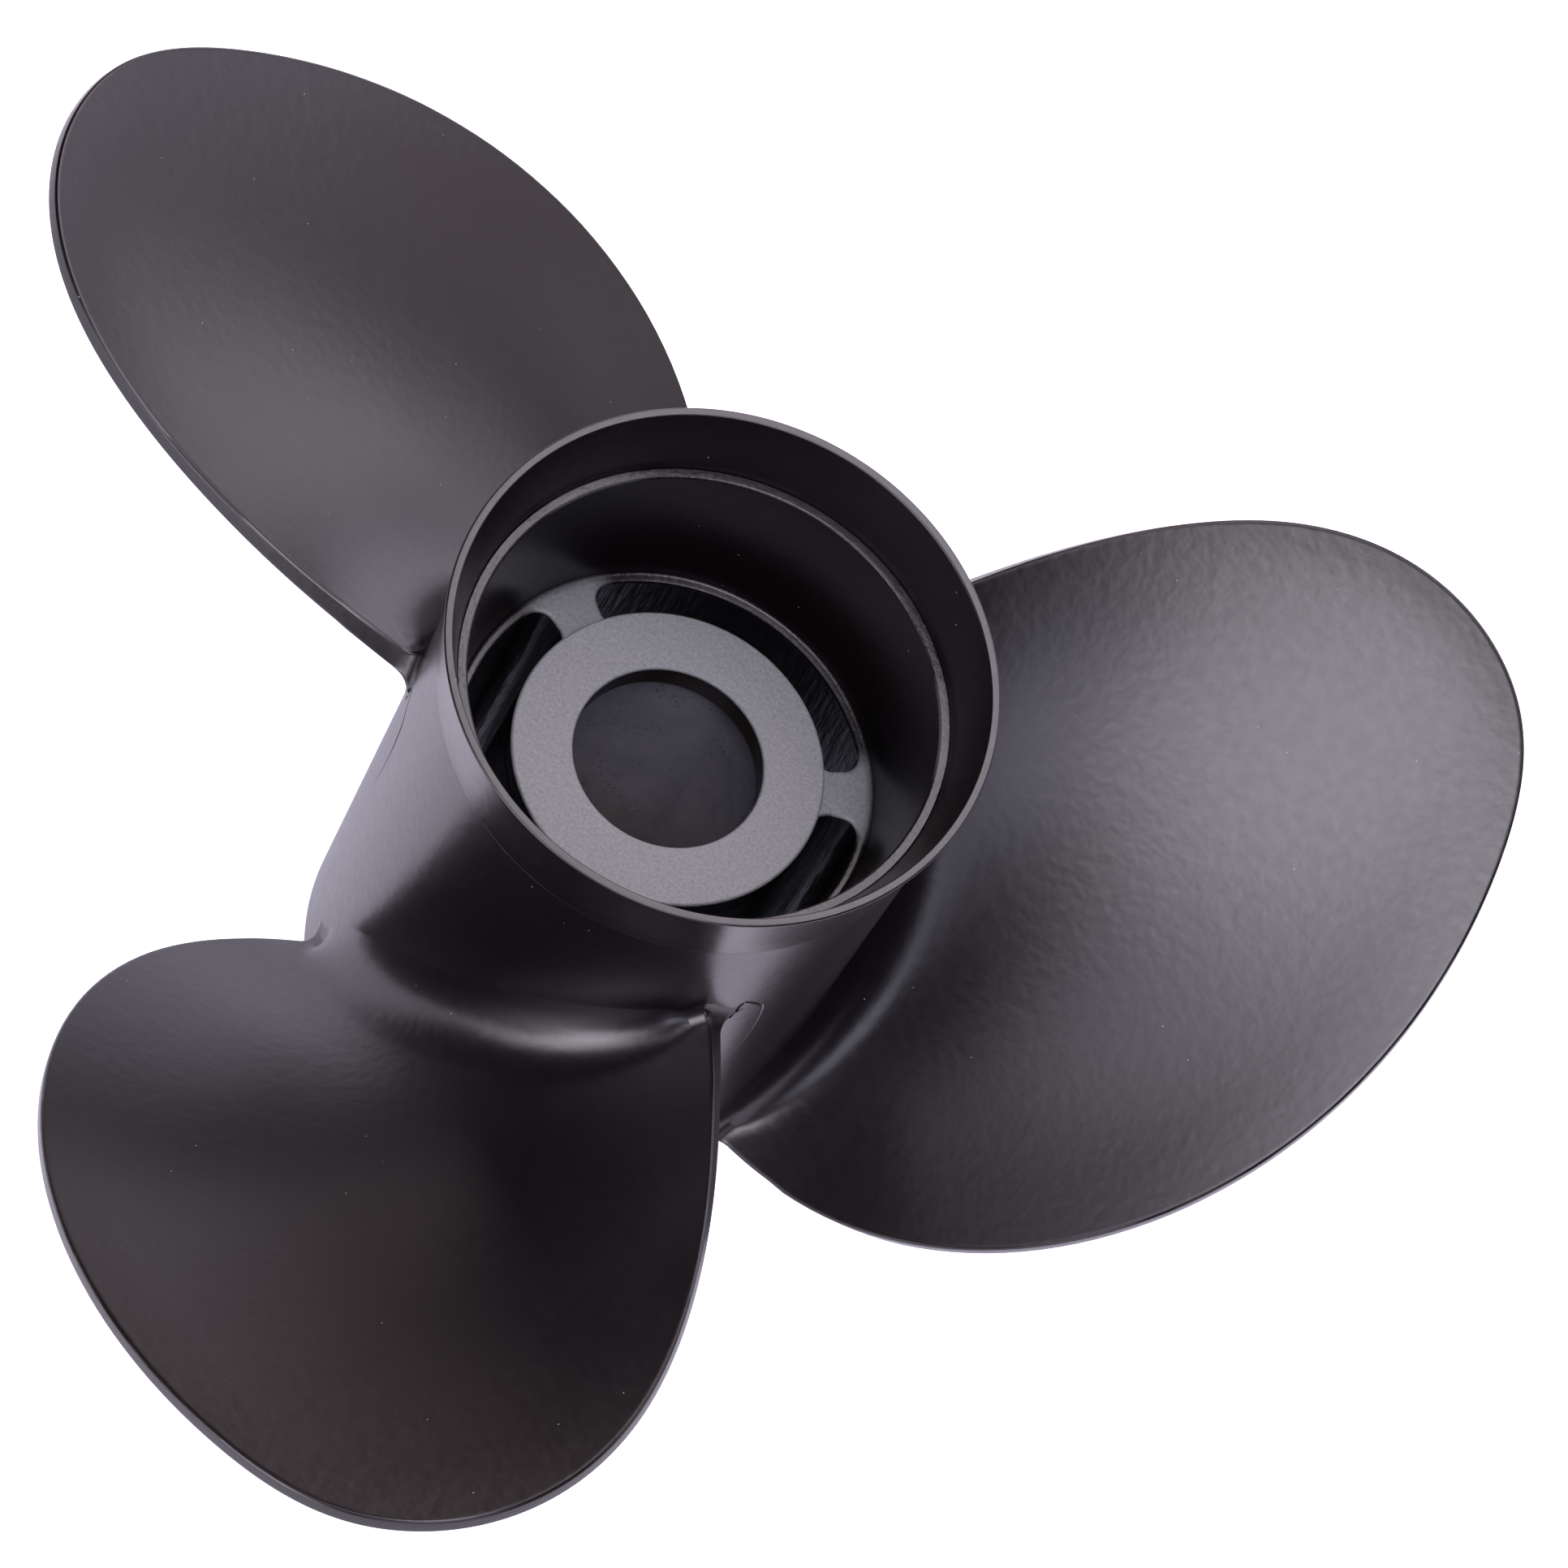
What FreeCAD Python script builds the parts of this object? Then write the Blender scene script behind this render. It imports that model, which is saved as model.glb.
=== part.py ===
import FreeCAD, Part
import math
import os
import Sketcher

# A three-bladed through-hub-exhaust boat propeller with a replaceable hub kit, in millimetres.
# The shaft axis is Z and +Z points aft. The origin is on the axis, in the plane of the barrel's
# front end, so the propeller stands on z = 0 the way it stands on a bench. The reference line of
# the first blade lies over +X, and the blades turn the boat ahead when they turn clockwise as
# seen from aft.

BLADE_COUNT = 3
EXHAUST_WEB_COUNT = 3
SPLINE_TOOTH_COUNT = 15
SPLINE_SPACE_TAPER = 0.8
SAME_PLACE = 0.001

DIMENSIONS = {
    # barrel, the outer tube that the exhaust leaves through
    "barrel_front_height": 0.0,
    "barrel_front_radius": 51.5,
    "barrel_seam_radius": 54.1,
    "barrel_seam_height": 131.0,
    "barrel_end_height": 136.0,
    "spigot_radius": 51.0,
    "barrel_mouth_radius": 48.8,
    "barrel_ledge_radius": 44.3,
    "barrel_front_inner_radius": 47.0,
    "barrel_edge_round": 1.0,
    # diffuser ring, pressed over the spigot at the barrel's aft end
    "rim_radius": 57.4,
    "rim_inner_radius": 55.4,
    "rim_height": 150.8,
    "rim_edge_round": 0.6,
    # inner hub and the webs that carry it
    "hub_radius": 32.8,
    "hub_front_radius": 33.4,
    "hub_front_height": 5.0,
    "hub_face_height": 107.0,
    "hub_hole_radius": 19.9,
    "hub_wall_thickness": 6.2,
    "hub_edge_round": 0.6,
    "web_face_height": 101.4,
    "web_front_height": 18.0,
    "slot_inner_radius": 32.9,
    "slot_outer_radius": 42.3,
    "slot_arc": 104.0,
    "slot_corner_radius": 3.6,
    "slot_centre_angle": 36.2,
    # socket for the hub kit: round, with four flats
    "socket_radius": 25.8,
    "socket_flat": 23.7,
    "socket_angle": 18.9,
    # drive sleeve
    "sleeve_clearance": 0.05,
    "sleeve_wall": 3.0,
    # splined adapter
    "adapter_radius": 22.7,
    "adapter_flat": 19.5,
    "adapter_length": 27.0,
    "spline_minor_radius": 12.4,
    "spline_major_radius": 14.0,
    "spline_space_width": 2.7,
    "pilot_radius": 14.2,
    "pilot_depth": 6.0,
    # thrust washer
    "washer_radius": 30.0,
    "washer_bore_radius": 14.4,
    "washer_seat_radius": 17.4,
    "washer_seat_depth": 3.0,
    "washer_edge_round": 0.8,
    # blades
    "tip_radius": 184.1,
    "blade_centre_height": 86.5,
    "blade_root_radius": 53.1,
    "blade_rake_slope": 0.259,
    "blade_rake_curl": 0.00007,
    "blade_pitch": 314.4,
    "blade_pitch_change": -0.17,
    "blade_face_bend": -1.9,
    "blade_root_thickness": 11.0,
    "blade_edge_thickness": 3.4,
    "blade_chord_middle": -27.0,
    "blade_chord_sweep": 13.0,
    "blade_half_chord": 47.0,
    "blade_half_chord_taper": 33.0,
    "blade_edge_round": 1.3,
    "blade_root_fillet": 12.0,
    "blade_fillet_start": 18.0,
    "blade_root_sink": 0.6,
}

# The blade's outline as the poles of a cubic curve, from the leading edge's root, round the tip,
# to the trailing edge's root. Each pole is a radius from the shaft axis and an angle about it,
# in degrees from the blade's reference line.
OUTLINE_POLES = (
    (22.9, -69.5),
    (47.4, -76.6),
    (95.6, -73.1),
    (153.6, -44.7),
    (181.2, -20.9),
    (188.6, -10.4),
    (157.2, 6.0),
    (86.0, 13.8),
    (62.0, 17.1),
)
TRAILING_ROOT = (47.0, 19.2)
LEADING_ROOT = (47.0, -74.0)
OUTLINE_SAMPLES = 60

# The blade's faces are made wider than the outline, then trimmed to it. The angles are in degrees
# from the reference line, and the allowances are in millimetres.
FACE_START, FACE_END = -88.0, 36.0
FACE_TURNS = 20
FILLET_STEPS = 5
SPAN_STEPS = 12
TIP_ALLOWANCE = 8.0
TRIM_ALLOWANCE = 60.0

doc = FreeCAD.newDocument("boat_propeller")

sheet = doc.addObject("Spreadsheet::Sheet", "Dimensions")
for row, (alias, value) in enumerate(DIMENSIONS.items(), start=1):
    sheet.set(f"A{row}", alias)
    sheet.set(f"B{row}", str(value))
    sheet.setAlias(f"B{row}", alias)
doc.recompute()


def size(alias):
    return float(sheet.get(alias))


def cell(alias):
    return f"Dimensions.{alias}"


def add_body(name):
    body = doc.addObject("PartDesign::Body", name)
    body.Label = name
    return body


def origin_plane(body, role):
    for feature in body.Origin.OriginFeatures:
        if feature.Role == role:
            return feature
    raise ValueError(f"no origin feature {role}")


def add_sketch(body, name, role, height=None, turn=None):
    """A sketch on one of the body's origin planes, raised and turned by sheet expressions."""
    sketch = body.newObject("Sketcher::SketchObject", name)
    sketch.AttachmentSupport = [(origin_plane(body, role), "")]
    sketch.MapMode = "FlatFace"
    if height:
        sketch.setExpression("AttachmentOffset.Base.z", height)
    if turn:
        sketch.AttachmentOffset = FreeCAD.Placement(
            FreeCAD.Vector(0, 0, 0), FreeCAD.Rotation(FreeCAD.Vector(0, 0, 1), 1)
        )
        sketch.setExpression("AttachmentOffset.Rotation.Angle", turn)
    return sketch


def bind_last(sketch, expression):
    sketch.setExpression(f"Constraints[{sketch.ConstraintCount - 1}]", expression)


def closed_profile(sketch, corners):
    """A closed polygon whose corners are (radius, height) pairs of sheet expressions."""
    values = [
        FreeCAD.Vector(*(float(sketch.evalExpression(text)) for text in pair), 0)
        for pair in corners
    ]
    for start, end in zip(values, values[1:] + values[:1]):
        sketch.addGeometry(Part.LineSegment(start, end), False)
    for line, (radius, height) in enumerate(corners):
        following = (line + 1) % len(corners)
        sketch.addConstraint(Sketcher.Constraint("Coincident", line, 2, following, 1))
        across = values[line].x
        sketch.addConstraint(Sketcher.Constraint("DistanceX", -1, 1, line, 1, across))
        bind_last(sketch, radius)
        up = values[line].y
        sketch.addConstraint(Sketcher.Constraint("DistanceY", -1, 1, line, 1, up))
        bind_last(sketch, height)


def revolve_profile(body, name, corners):
    """Turns a closed profile of the XZ plane once round the shaft axis."""
    sketch = add_sketch(body, name + "_profile", "XZ_Plane")
    closed_profile(sketch, corners)
    turned = body.newObject("PartDesign::Revolution", name)
    turned.Profile = sketch
    turned.ReferenceAxis = (sketch, ["V_Axis"])
    turned.Angle = 360
    return turned


def round_circles(body, name, base, round_alias, circles):
    """Rounds the base feature's circular edges, each given as names of a radius and a height."""
    doc.recompute()
    wanted = []
    for number, edge in enumerate(base.Shape.Edges, start=1):
        if not isinstance(edge.Curve, Part.Circle):
            continue
        for radius, height in circles:
            same_radius = abs(edge.Curve.Radius - size(radius)) < SAME_PLACE
            same_height = abs(edge.Curve.Center.z - size(height)) < SAME_PLACE
            if same_radius and same_height:
                wanted.append(f"Edge{number}")
    if len(wanted) != len(circles):
        raise RuntimeError(f"{name} found {len(wanted)} of its {len(circles)} edges")
    rounded = body.newObject("PartDesign::Fillet", name)
    rounded.Base = (base, wanted)
    rounded.setExpression("Radius", cell(round_alias))
    return rounded


def flatted_circle(sketch, radius, flat):
    """A circle about the origin with four flats; radius and flat are sheet expressions."""
    reach = float(sketch.evalExpression(radius))
    depth = float(sketch.evalExpression(flat))
    spread = math.acos(depth / reach)
    quarter = math.pi / 2
    origin = FreeCAD.Vector(0, 0, 0)
    axis = FreeCAD.Vector(0, 0, 1)
    first = sketch.GeometryCount

    def on_circle(angle):
        return FreeCAD.Vector(reach * math.cos(angle), reach * math.sin(angle), 0)

    for side in range(4):
        middle = side * quarter
        flat_line = Part.LineSegment(on_circle(middle - spread), on_circle(middle + spread))
        sketch.addGeometry(flat_line, False)
        circle = Part.Circle(origin, axis, reach)
        round_part = Part.ArcOfCircle(circle, middle + spread, middle + quarter - spread)
        sketch.addGeometry(round_part, False)
    for side in range(4):
        line = first + 2 * side
        arc = line + 1
        after = first + (2 * side + 2) % 8
        sketch.addConstraint(Sketcher.Constraint("Coincident", line, 2, arc, 1))
        sketch.addConstraint(Sketcher.Constraint("Coincident", arc, 2, after, 1))
        sketch.addConstraint(Sketcher.Constraint("Coincident", arc, 3, -1, 1))
        sketch.addConstraint(Sketcher.Constraint("Radius", arc, reach))
        bind_last(sketch, radius)
        upright = side % 2 == 0
        sketch.addConstraint(Sketcher.Constraint("Vertical" if upright else "Horizontal", line))
        signed = depth if side < 2 else -depth
        kind = "DistanceX" if upright else "DistanceY"
        sketch.addConstraint(Sketcher.Constraint(kind, -1, 1, line, 1, signed))
        bind_last(sketch, flat if side < 2 else f"-({flat})")


def circle_of(sketch, radius):
    """A circle about the origin whose radius is a sheet expression."""
    value = float(sketch.evalExpression(radius))
    circle = Part.Circle(FreeCAD.Vector(0, 0, 0), FreeCAD.Vector(0, 0, 1), value)
    index = sketch.addGeometry(circle, False)
    sketch.addConstraint(Sketcher.Constraint("Coincident", index, 3, -1, 1))
    sketch.addConstraint(Sketcher.Constraint("Radius", index, value))
    bind_last(sketch, radius)


def pad(body, name, sketch, length):
    feature = body.newObject("PartDesign::Pad", name)
    feature.Profile = sketch
    feature.setExpression("Length", length)
    return feature


def cut(body, name, sketch, length):
    """A pocket that runs aft, towards +Z, from its sketch."""
    feature = body.newObject("PartDesign::Pocket", name)
    feature.Profile = sketch
    feature.setExpression("Length", length)
    feature.Reversed = True
    return feature


def cut_round_the_axis(body, name, feature, count):
    """Repeats a cut about the shaft axis and makes the pattern the body's result."""
    pattern = body.newObject("PartDesign::PolarPattern", name)
    pattern.Originals = [feature]
    pattern.Axis = (origin_plane(body, "Z_Axis"), [""])
    pattern.Angle = 360
    pattern.Occurrences = count
    body.Tip = pattern
    return pattern


# ---- barrel, webs and inner hub, before the blades are added ----


def kidney_slot(sketch):
    """One exhaust slot: two arcs about the shaft axis joined by rounded ends."""
    inner = size("slot_inner_radius")
    outer = size("slot_outer_radius")
    corner = size("slot_corner_radius")
    half = math.radians(size("slot_arc")) / 2
    origin = FreeCAD.Vector(0, 0, 0)
    axis = FreeCAD.Vector(0, 0, 1)

    def polar(radius, angle):
        return FreeCAD.Vector(radius * math.cos(angle), radius * math.sin(angle), 0)

    inner_centre = inner + corner
    outer_centre = outer - corner
    inner_turn = math.asin(corner / inner_centre)
    outer_turn = math.asin(corner / outer_centre)
    inner_reach = inner_centre * math.cos(inner_turn)
    outer_reach = outer_centre * math.cos(outer_turn)

    def corner_arc(centre_radius, centre_angle, start_angle, end_angle):
        centre = polar(centre_radius, centre_angle)
        return Part.ArcOfCircle(Part.Circle(centre, axis, corner), start_angle, end_angle)

    inner_end = half - inner_turn
    outer_end = half - outer_turn
    quarter = math.pi / 2
    pieces = (
        Part.ArcOfCircle(Part.Circle(origin, axis, outer), -outer_end, outer_end),
        corner_arc(outer_centre, outer_end, outer_end, half + quarter),
        Part.LineSegment(polar(outer_reach, half), polar(inner_reach, half)),
        corner_arc(inner_centre, inner_end, half + quarter, inner_end + math.pi),
        Part.ArcOfCircle(Part.Circle(origin, axis, inner), -inner_end, inner_end),
        corner_arc(inner_centre, -inner_end, math.pi - inner_end, 3 * quarter - half),
        Part.LineSegment(polar(inner_reach, -half), polar(outer_reach, -half)),
        corner_arc(outer_centre, -outer_end, -half - quarter, -outer_end),
    )
    for piece in pieces:
        sketch.addGeometry(piece, False)
    for index in range(len(pieces)):
        sketch.addConstraint(Sketcher.Constraint("Block", index))


def build_barrel_and_hub():
    """The casting without its blades: one turned shape, a flatted socket and three slots."""
    body = add_body("barrel_and_hub")
    turned = revolve_profile(
        body,
        "barrel_turned",
        (
            (cell("barrel_front_radius"), cell("barrel_front_height")),
            (cell("barrel_seam_radius"), cell("barrel_seam_height")),
            (cell("spigot_radius"), cell("barrel_seam_height")),
            (cell("spigot_radius"), cell("barrel_end_height")),
            (cell("barrel_mouth_radius"), cell("barrel_end_height")),
            (cell("barrel_ledge_radius"), cell("web_face_height")),
            (cell("hub_radius"), cell("web_face_height")),
            (cell("hub_radius"), cell("hub_face_height")),
            (cell("hub_hole_radius"), cell("hub_face_height")),
            (cell("hub_hole_radius"), cell("hub_front_height")),
            (cell("hub_front_radius"), cell("hub_front_height")),
            (cell("hub_front_radius"), cell("web_front_height")),
            (cell("slot_outer_radius"), cell("web_front_height")),
            (cell("barrel_front_inner_radius"), cell("barrel_front_height")),
        ),
    )
    edges = (
        ("barrel_front_radius", "barrel_front_height"),
        ("barrel_front_inner_radius", "barrel_front_height"),
        ("barrel_mouth_radius", "barrel_end_height"),
    )
    barrel = round_circles(body, "barrel_edges", turned, "barrel_edge_round", edges)
    edges = (("hub_radius", "hub_face_height"), ("hub_hole_radius", "hub_face_height"))
    round_circles(body, "hub_edges", barrel, "hub_edge_round", edges)
    socket = add_sketch(
        body, "socket_profile", "XY_Plane", cell("hub_front_height"), cell("socket_angle")
    )
    flatted_circle(socket, cell("socket_radius"), cell("socket_flat"))
    depth = f"{cell('hub_face_height')} - {cell('hub_wall_thickness')}"
    cut(body, "socket", socket, f"{depth} - {cell('hub_front_height')}")
    slot = add_sketch(body, "slot_profile", "XY_Plane", None, cell("slot_centre_angle"))
    kidney_slot(slot)
    first_slot = cut(body, "exhaust_slot", slot, cell("web_face_height"))
    cut_round_the_axis(body, "exhaust_slots", first_slot, EXHAUST_WEB_COUNT)
    return body


# ---- blades ----


def barrel_radius(height):
    slope = (size("barrel_seam_radius") - size("barrel_front_radius")) / size("barrel_seam_height")
    return size("barrel_front_radius") + slope * height


def blade_pitch(radius):
    return size("blade_pitch") + size("blade_pitch_change") * (radius - size("blade_root_radius"))


def pressure_face_height(radius, angle):
    """Height of the aft face: a right-hand helix raked aft, with angle in radians."""
    reach = radius - size("blade_root_radius")
    rake = (size("blade_rake_slope") + size("blade_rake_curl") * reach) * reach
    twist = blade_pitch(radius) / (2 * math.pi) * angle
    return size("blade_centre_height") + rake + twist + size("blade_face_bend") * angle**2


def pitch_angle(radius):
    return math.atan2(blade_pitch(radius), 2 * math.pi * radius)


def outline_curve():
    poles = [FreeCAD.Vector(radius, angle, 0) for radius, angle in OUTLINE_POLES]
    inner_knots = len(poles) - 4
    knots = list(range(inner_knots + 2))
    repeats = [4] + [1] * inner_knots + [4]
    curve = Part.BSplineCurve()
    curve.buildFromPolesMultsKnots(poles, repeats, knots, False, 3)
    return curve


def polar_point(radius, degrees, height=0.0):
    angle = math.radians(degrees)
    return FreeCAD.Vector(radius * math.cos(angle), radius * math.sin(angle), height)


def outline_prism():
    """The blade's outline seen along the shaft, extruded over the barrel's whole length."""
    curve = outline_curve()
    first, last = curve.FirstParameter, curve.LastParameter
    points = []
    for step in range(OUTLINE_SAMPLES + 1):
        place = curve.value(first + (last - first) * step / OUTLINE_SAMPLES)
        if place.x >= LEADING_ROOT[0]:
            points.append(polar_point(place.x, place.y))
    edge = Part.BSplineCurve()
    edge.interpolate(points)
    trailing = polar_point(*TRAILING_ROOT)
    leading = polar_point(*LEADING_ROOT)
    middle = polar_point(LEADING_ROOT[0], (TRAILING_ROOT[1] + LEADING_ROOT[1]) / 2)
    wire = Part.Wire(
        [
            edge.toShape(),
            Part.LineSegment(points[-1], trailing).toShape(),
            Part.Arc(trailing, middle, leading).toShape(),
            Part.LineSegment(leading, points[0]).toShape(),
        ]
    )
    height = size("rim_height") + TRIM_ALLOWANCE
    return Part.Face(wire).extrude(FreeCAD.Vector(0, 0, height))


def blade_thickness(radius, angle):
    """Thickness across the blade: full along the middle of the chord, thin at both edges."""
    span = (radius - size("blade_root_radius")) / (size("tip_radius") - size("blade_root_radius"))
    span = min(max(span, 0.0), 1.0)
    middle = size("blade_chord_middle") + size("blade_chord_sweep") * span**2
    half_chord = size("blade_half_chord") - size("blade_half_chord_taper") * span**2
    offset = min(abs(math.degrees(angle) - middle) / half_chord, 1.0)
    extra = (size("blade_root_thickness") - size("blade_edge_thickness")) * (1 - span)
    return size("blade_edge_thickness") + extra * (1 - offset**2)


def blade_slab():
    """The blade's two faces over a region wider than its outline, closed by ruled sides."""
    fillet = size("blade_root_fillet")
    first_bend = math.radians(size("blade_fillet_start"))
    far_radius = size("tip_radius") + TIP_ALLOWANCE
    start, end = math.radians(FACE_START), math.radians(FACE_END)
    rows_aft, rows_fore = [], []
    for step in range(FACE_TURNS + 1):
        angle = start + (end - start) * step / FACE_TURNS
        root_height = pressure_face_height(size("blade_root_radius"), angle)
        foot = barrel_radius(root_height) - size("blade_root_sink")
        aft, fore = [], []
        for part in range(FILLET_STEPS + SPAN_STEPS + 1):
            if part <= FILLET_STEPS:
                bend = first_bend + (math.pi / 2 - first_bend) * part / FILLET_STEPS
                radius = foot + fillet * (1 - math.cos(bend))
                swell = fillet * (1 - math.sin(bend))
            else:
                share = (part - FILLET_STEPS) / SPAN_STEPS
                radius = foot + fillet + (far_radius - foot - fillet) * share
                swell = 0.0
            lean = math.cos(pitch_angle(radius))
            face = pressure_face_height(radius, angle)
            back = face - blade_thickness(radius, angle) / lean
            x, y = radius * math.cos(angle), radius * math.sin(angle)
            aft.append(FreeCAD.Vector(x, y, face + swell / lean))
            fore.append(FreeCAD.Vector(x, y, back - swell / lean))
        rows_aft.append(aft)
        rows_fore.append(fore)
    surfaces = []
    for rows in (rows_aft, rows_fore):
        surface = Part.BSplineSurface()
        surface.interpolate(rows)
        surfaces.append(surface)
    aft_surface, fore_surface = surfaces
    faces = [aft_surface.toShape(), fore_surface.toShape()]
    u_first, u_last, v_first, v_last = aft_surface.bounds()
    fu_first, fu_last, fv_first, fv_last = fore_surface.bounds()
    pairs = (
        (aft_surface.uIso(u_first), fore_surface.uIso(fu_first)),
        (aft_surface.uIso(u_last), fore_surface.uIso(fu_last)),
        (aft_surface.vIso(v_first), fore_surface.vIso(fv_first)),
        (aft_surface.vIso(v_last), fore_surface.vIso(fv_last)),
    )
    for above, below in pairs:
        faces.append(Part.makeRuledSurface(above.toShape(), below.toShape()))
    shell = Part.makeShell(faces)
    shell.sewShape()
    solid = Part.makeSolid(Part.Shell(shell.Faces))
    if solid.Volume < 0:
        solid.reverse()
    return solid


def build_blades():
    """The blades, each rounded along the two long edges that run out to the tip and back."""
    blank = blade_slab().common(outline_prism()).Solids[0]
    rim_edges = [edge for edge in blank.Edges if edge.Length > size("tip_radius")]
    shape = blank.makeFillet(size("blade_edge_round"), rim_edges)
    blades = []
    for number in range(BLADE_COUNT):
        blade = doc.addObject("Part::Feature", f"blade_{number + 1}")
        blade.Shape = shape
        turn = FreeCAD.Rotation(FreeCAD.Vector(0, 0, 1), 360.0 * number / BLADE_COUNT)
        blade.Placement = FreeCAD.Placement(FreeCAD.Vector(0, 0, 0), turn)
        blades.append(blade)
    return blades


def build_propeller_casting():
    """Barrel, webs, hub and blades are one casting, so they are one solid."""
    casting = doc.addObject("Part::MultiFuse", "propeller_casting")
    casting.Shapes = [build_barrel_and_hub()] + build_blades()
    casting.Label = "propeller_casting"
    return casting


# ---- the separate pieces ----


def build_diffuser_ring():
    """The flared ring pressed over the spigot at the barrel's aft end."""
    body = add_body("diffuser_ring")
    turned = revolve_profile(
        body,
        "ring_turned",
        (
            (cell("barrel_seam_radius"), cell("barrel_seam_height")),
            (cell("rim_radius"), cell("rim_height")),
            (cell("rim_inner_radius"), cell("rim_height")),
            (cell("spigot_radius"), cell("barrel_end_height")),
            (cell("spigot_radius"), cell("barrel_seam_height")),
        ),
    )
    edges = (("rim_radius", "rim_height"), ("rim_inner_radius", "rim_height"))
    round_circles(body, "rim_edges", turned, "rim_edge_round", edges)
    return body


def build_drive_sleeve():
    """The tough plastic sleeve that fills the socket and carries the torque."""
    body = add_body("drive_sleeve")
    front, turn = cell("hub_front_height"), cell("socket_angle")
    outer = add_sketch(body, "sleeve_outside", "XY_Plane", front, turn)
    gap = cell("sleeve_clearance")
    flatted_circle(
        outer, f"{cell('socket_radius')} - {gap}", f"{cell('socket_flat')} - {gap}"
    )
    length = f"{cell('hub_face_height')} - {cell('hub_wall_thickness')} - {front} - {gap}"
    pad(body, "sleeve", outer, length)
    inner = add_sketch(body, "sleeve_inside", "XY_Plane", front, turn)
    wall = cell("sleeve_wall")
    flatted_circle(
        inner,
        f"{cell('socket_radius')} - {gap} - {wall}",
        f"{cell('socket_flat')} - {gap} - {wall}",
    )
    cut(body, "sleeve_bore", inner, length)
    return body


def build_spline_adapter():
    """The brass adapter: flats outside for the sleeve, splines inside for the shaft."""
    body = add_body("spline_adapter")
    front, turn = cell("hub_front_height"), cell("socket_angle")
    outer = add_sketch(body, "adapter_outside", "XY_Plane", front, turn)
    flatted_circle(outer, cell("adapter_radius"), cell("adapter_flat"))
    pad(body, "adapter", outer, cell("adapter_length"))
    bore = add_sketch(body, "adapter_bore_circle", "XY_Plane", front)
    circle_of(bore, cell("spline_minor_radius"))
    cut(body, "adapter_bore", bore, cell("adapter_length"))
    space = add_sketch(body, "spline_space_profile", "XY_Plane", front)
    half = f"{cell('spline_space_width')} / 2"
    inside = f"{cell('spline_minor_radius')} - 1"
    closed_profile(
        space,
        (
            (inside, f"-({half})"),
            (cell("spline_major_radius"), f"-({half}) * {SPLINE_SPACE_TAPER}"),
            (cell("spline_major_radius"), f"({half}) * {SPLINE_SPACE_TAPER}"),
            (inside, half),
        ),
    )
    first_space = cut(body, "spline_space", space, cell("adapter_length"))
    cut_round_the_axis(body, "spline_spaces", first_space, SPLINE_TOOTH_COUNT)
    pilot = add_sketch(body, "pilot_circle", "XY_Plane", front)
    circle_of(pilot, cell("pilot_radius"))
    cut(body, "pilot_bore", pilot, cell("pilot_depth"))
    return body


def build_thrust_washer():
    """The loose washer between the shaft's tapered shoulder and the hub."""
    body = add_body("thrust_washer")
    turned = revolve_profile(
        body,
        "washer_turned",
        (
            (cell("washer_seat_radius"), cell("barrel_front_height")),
            (cell("washer_radius"), cell("barrel_front_height")),
            (cell("washer_radius"), cell("hub_front_height")),
            (cell("washer_bore_radius"), cell("hub_front_height")),
            (cell("washer_bore_radius"), cell("washer_seat_depth")),
        ),
    )
    edges = (("washer_radius", "barrel_front_height"), ("washer_radius", "hub_front_height"))
    round_circles(body, "washer_edges", turned, "washer_edge_round", edges)
    return body


pieces = [
    build_propeller_casting(),
    build_diffuser_ring(),
    build_drive_sleeve(),
    build_spline_adapter(),
    build_thrust_washer(),
]
doc.recompute()

for item in doc.Objects:
    if "Invalid" in item.State or "Error" in item.State:
        raise RuntimeError(f"{item.Name} failed to compute: {item.State}")
for piece in pieces:
    if piece.Shape.isNull() or not piece.Shape.isValid():
        raise RuntimeError(f"{piece.Label} has no valid shape")

os.makedirs("parts", exist_ok=True)
for piece in pieces:
    piece.Shape.exportStep(f"parts/{piece.Label}.step")
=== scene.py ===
import math

import bmesh
import bpy
import numpy as np
from mathutils import Matrix, Vector


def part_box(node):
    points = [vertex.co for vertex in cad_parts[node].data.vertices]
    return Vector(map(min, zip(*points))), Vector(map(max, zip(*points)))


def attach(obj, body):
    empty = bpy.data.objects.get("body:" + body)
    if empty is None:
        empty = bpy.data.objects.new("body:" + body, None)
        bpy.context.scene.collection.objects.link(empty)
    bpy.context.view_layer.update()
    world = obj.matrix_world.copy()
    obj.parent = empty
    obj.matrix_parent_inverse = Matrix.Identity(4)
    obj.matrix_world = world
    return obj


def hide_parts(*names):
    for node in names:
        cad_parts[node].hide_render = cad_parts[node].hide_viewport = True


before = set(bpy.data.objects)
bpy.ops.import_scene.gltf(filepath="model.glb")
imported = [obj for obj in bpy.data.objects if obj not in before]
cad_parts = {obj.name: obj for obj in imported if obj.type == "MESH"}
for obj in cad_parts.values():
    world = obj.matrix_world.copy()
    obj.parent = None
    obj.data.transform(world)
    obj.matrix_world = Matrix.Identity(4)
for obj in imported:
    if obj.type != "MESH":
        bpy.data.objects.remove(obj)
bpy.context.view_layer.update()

# The shaft axis is Z and aft is up. Sizes below are in millimetres, meshes are made in metres.
MM = 0.001
BLADE_COUNT = 3
BLADE_STEP = 2 * math.pi / BLADE_COUNT
# Edges that turn by more than this stay sharp.
CREASE_ANGLE = math.radians(21)

# ---------------------------------------------------------------- sizes read from the frame

ring_low, ring_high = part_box("diffuser_ring")
sleeve_low, sleeve_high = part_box("drive_sleeve")

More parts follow.
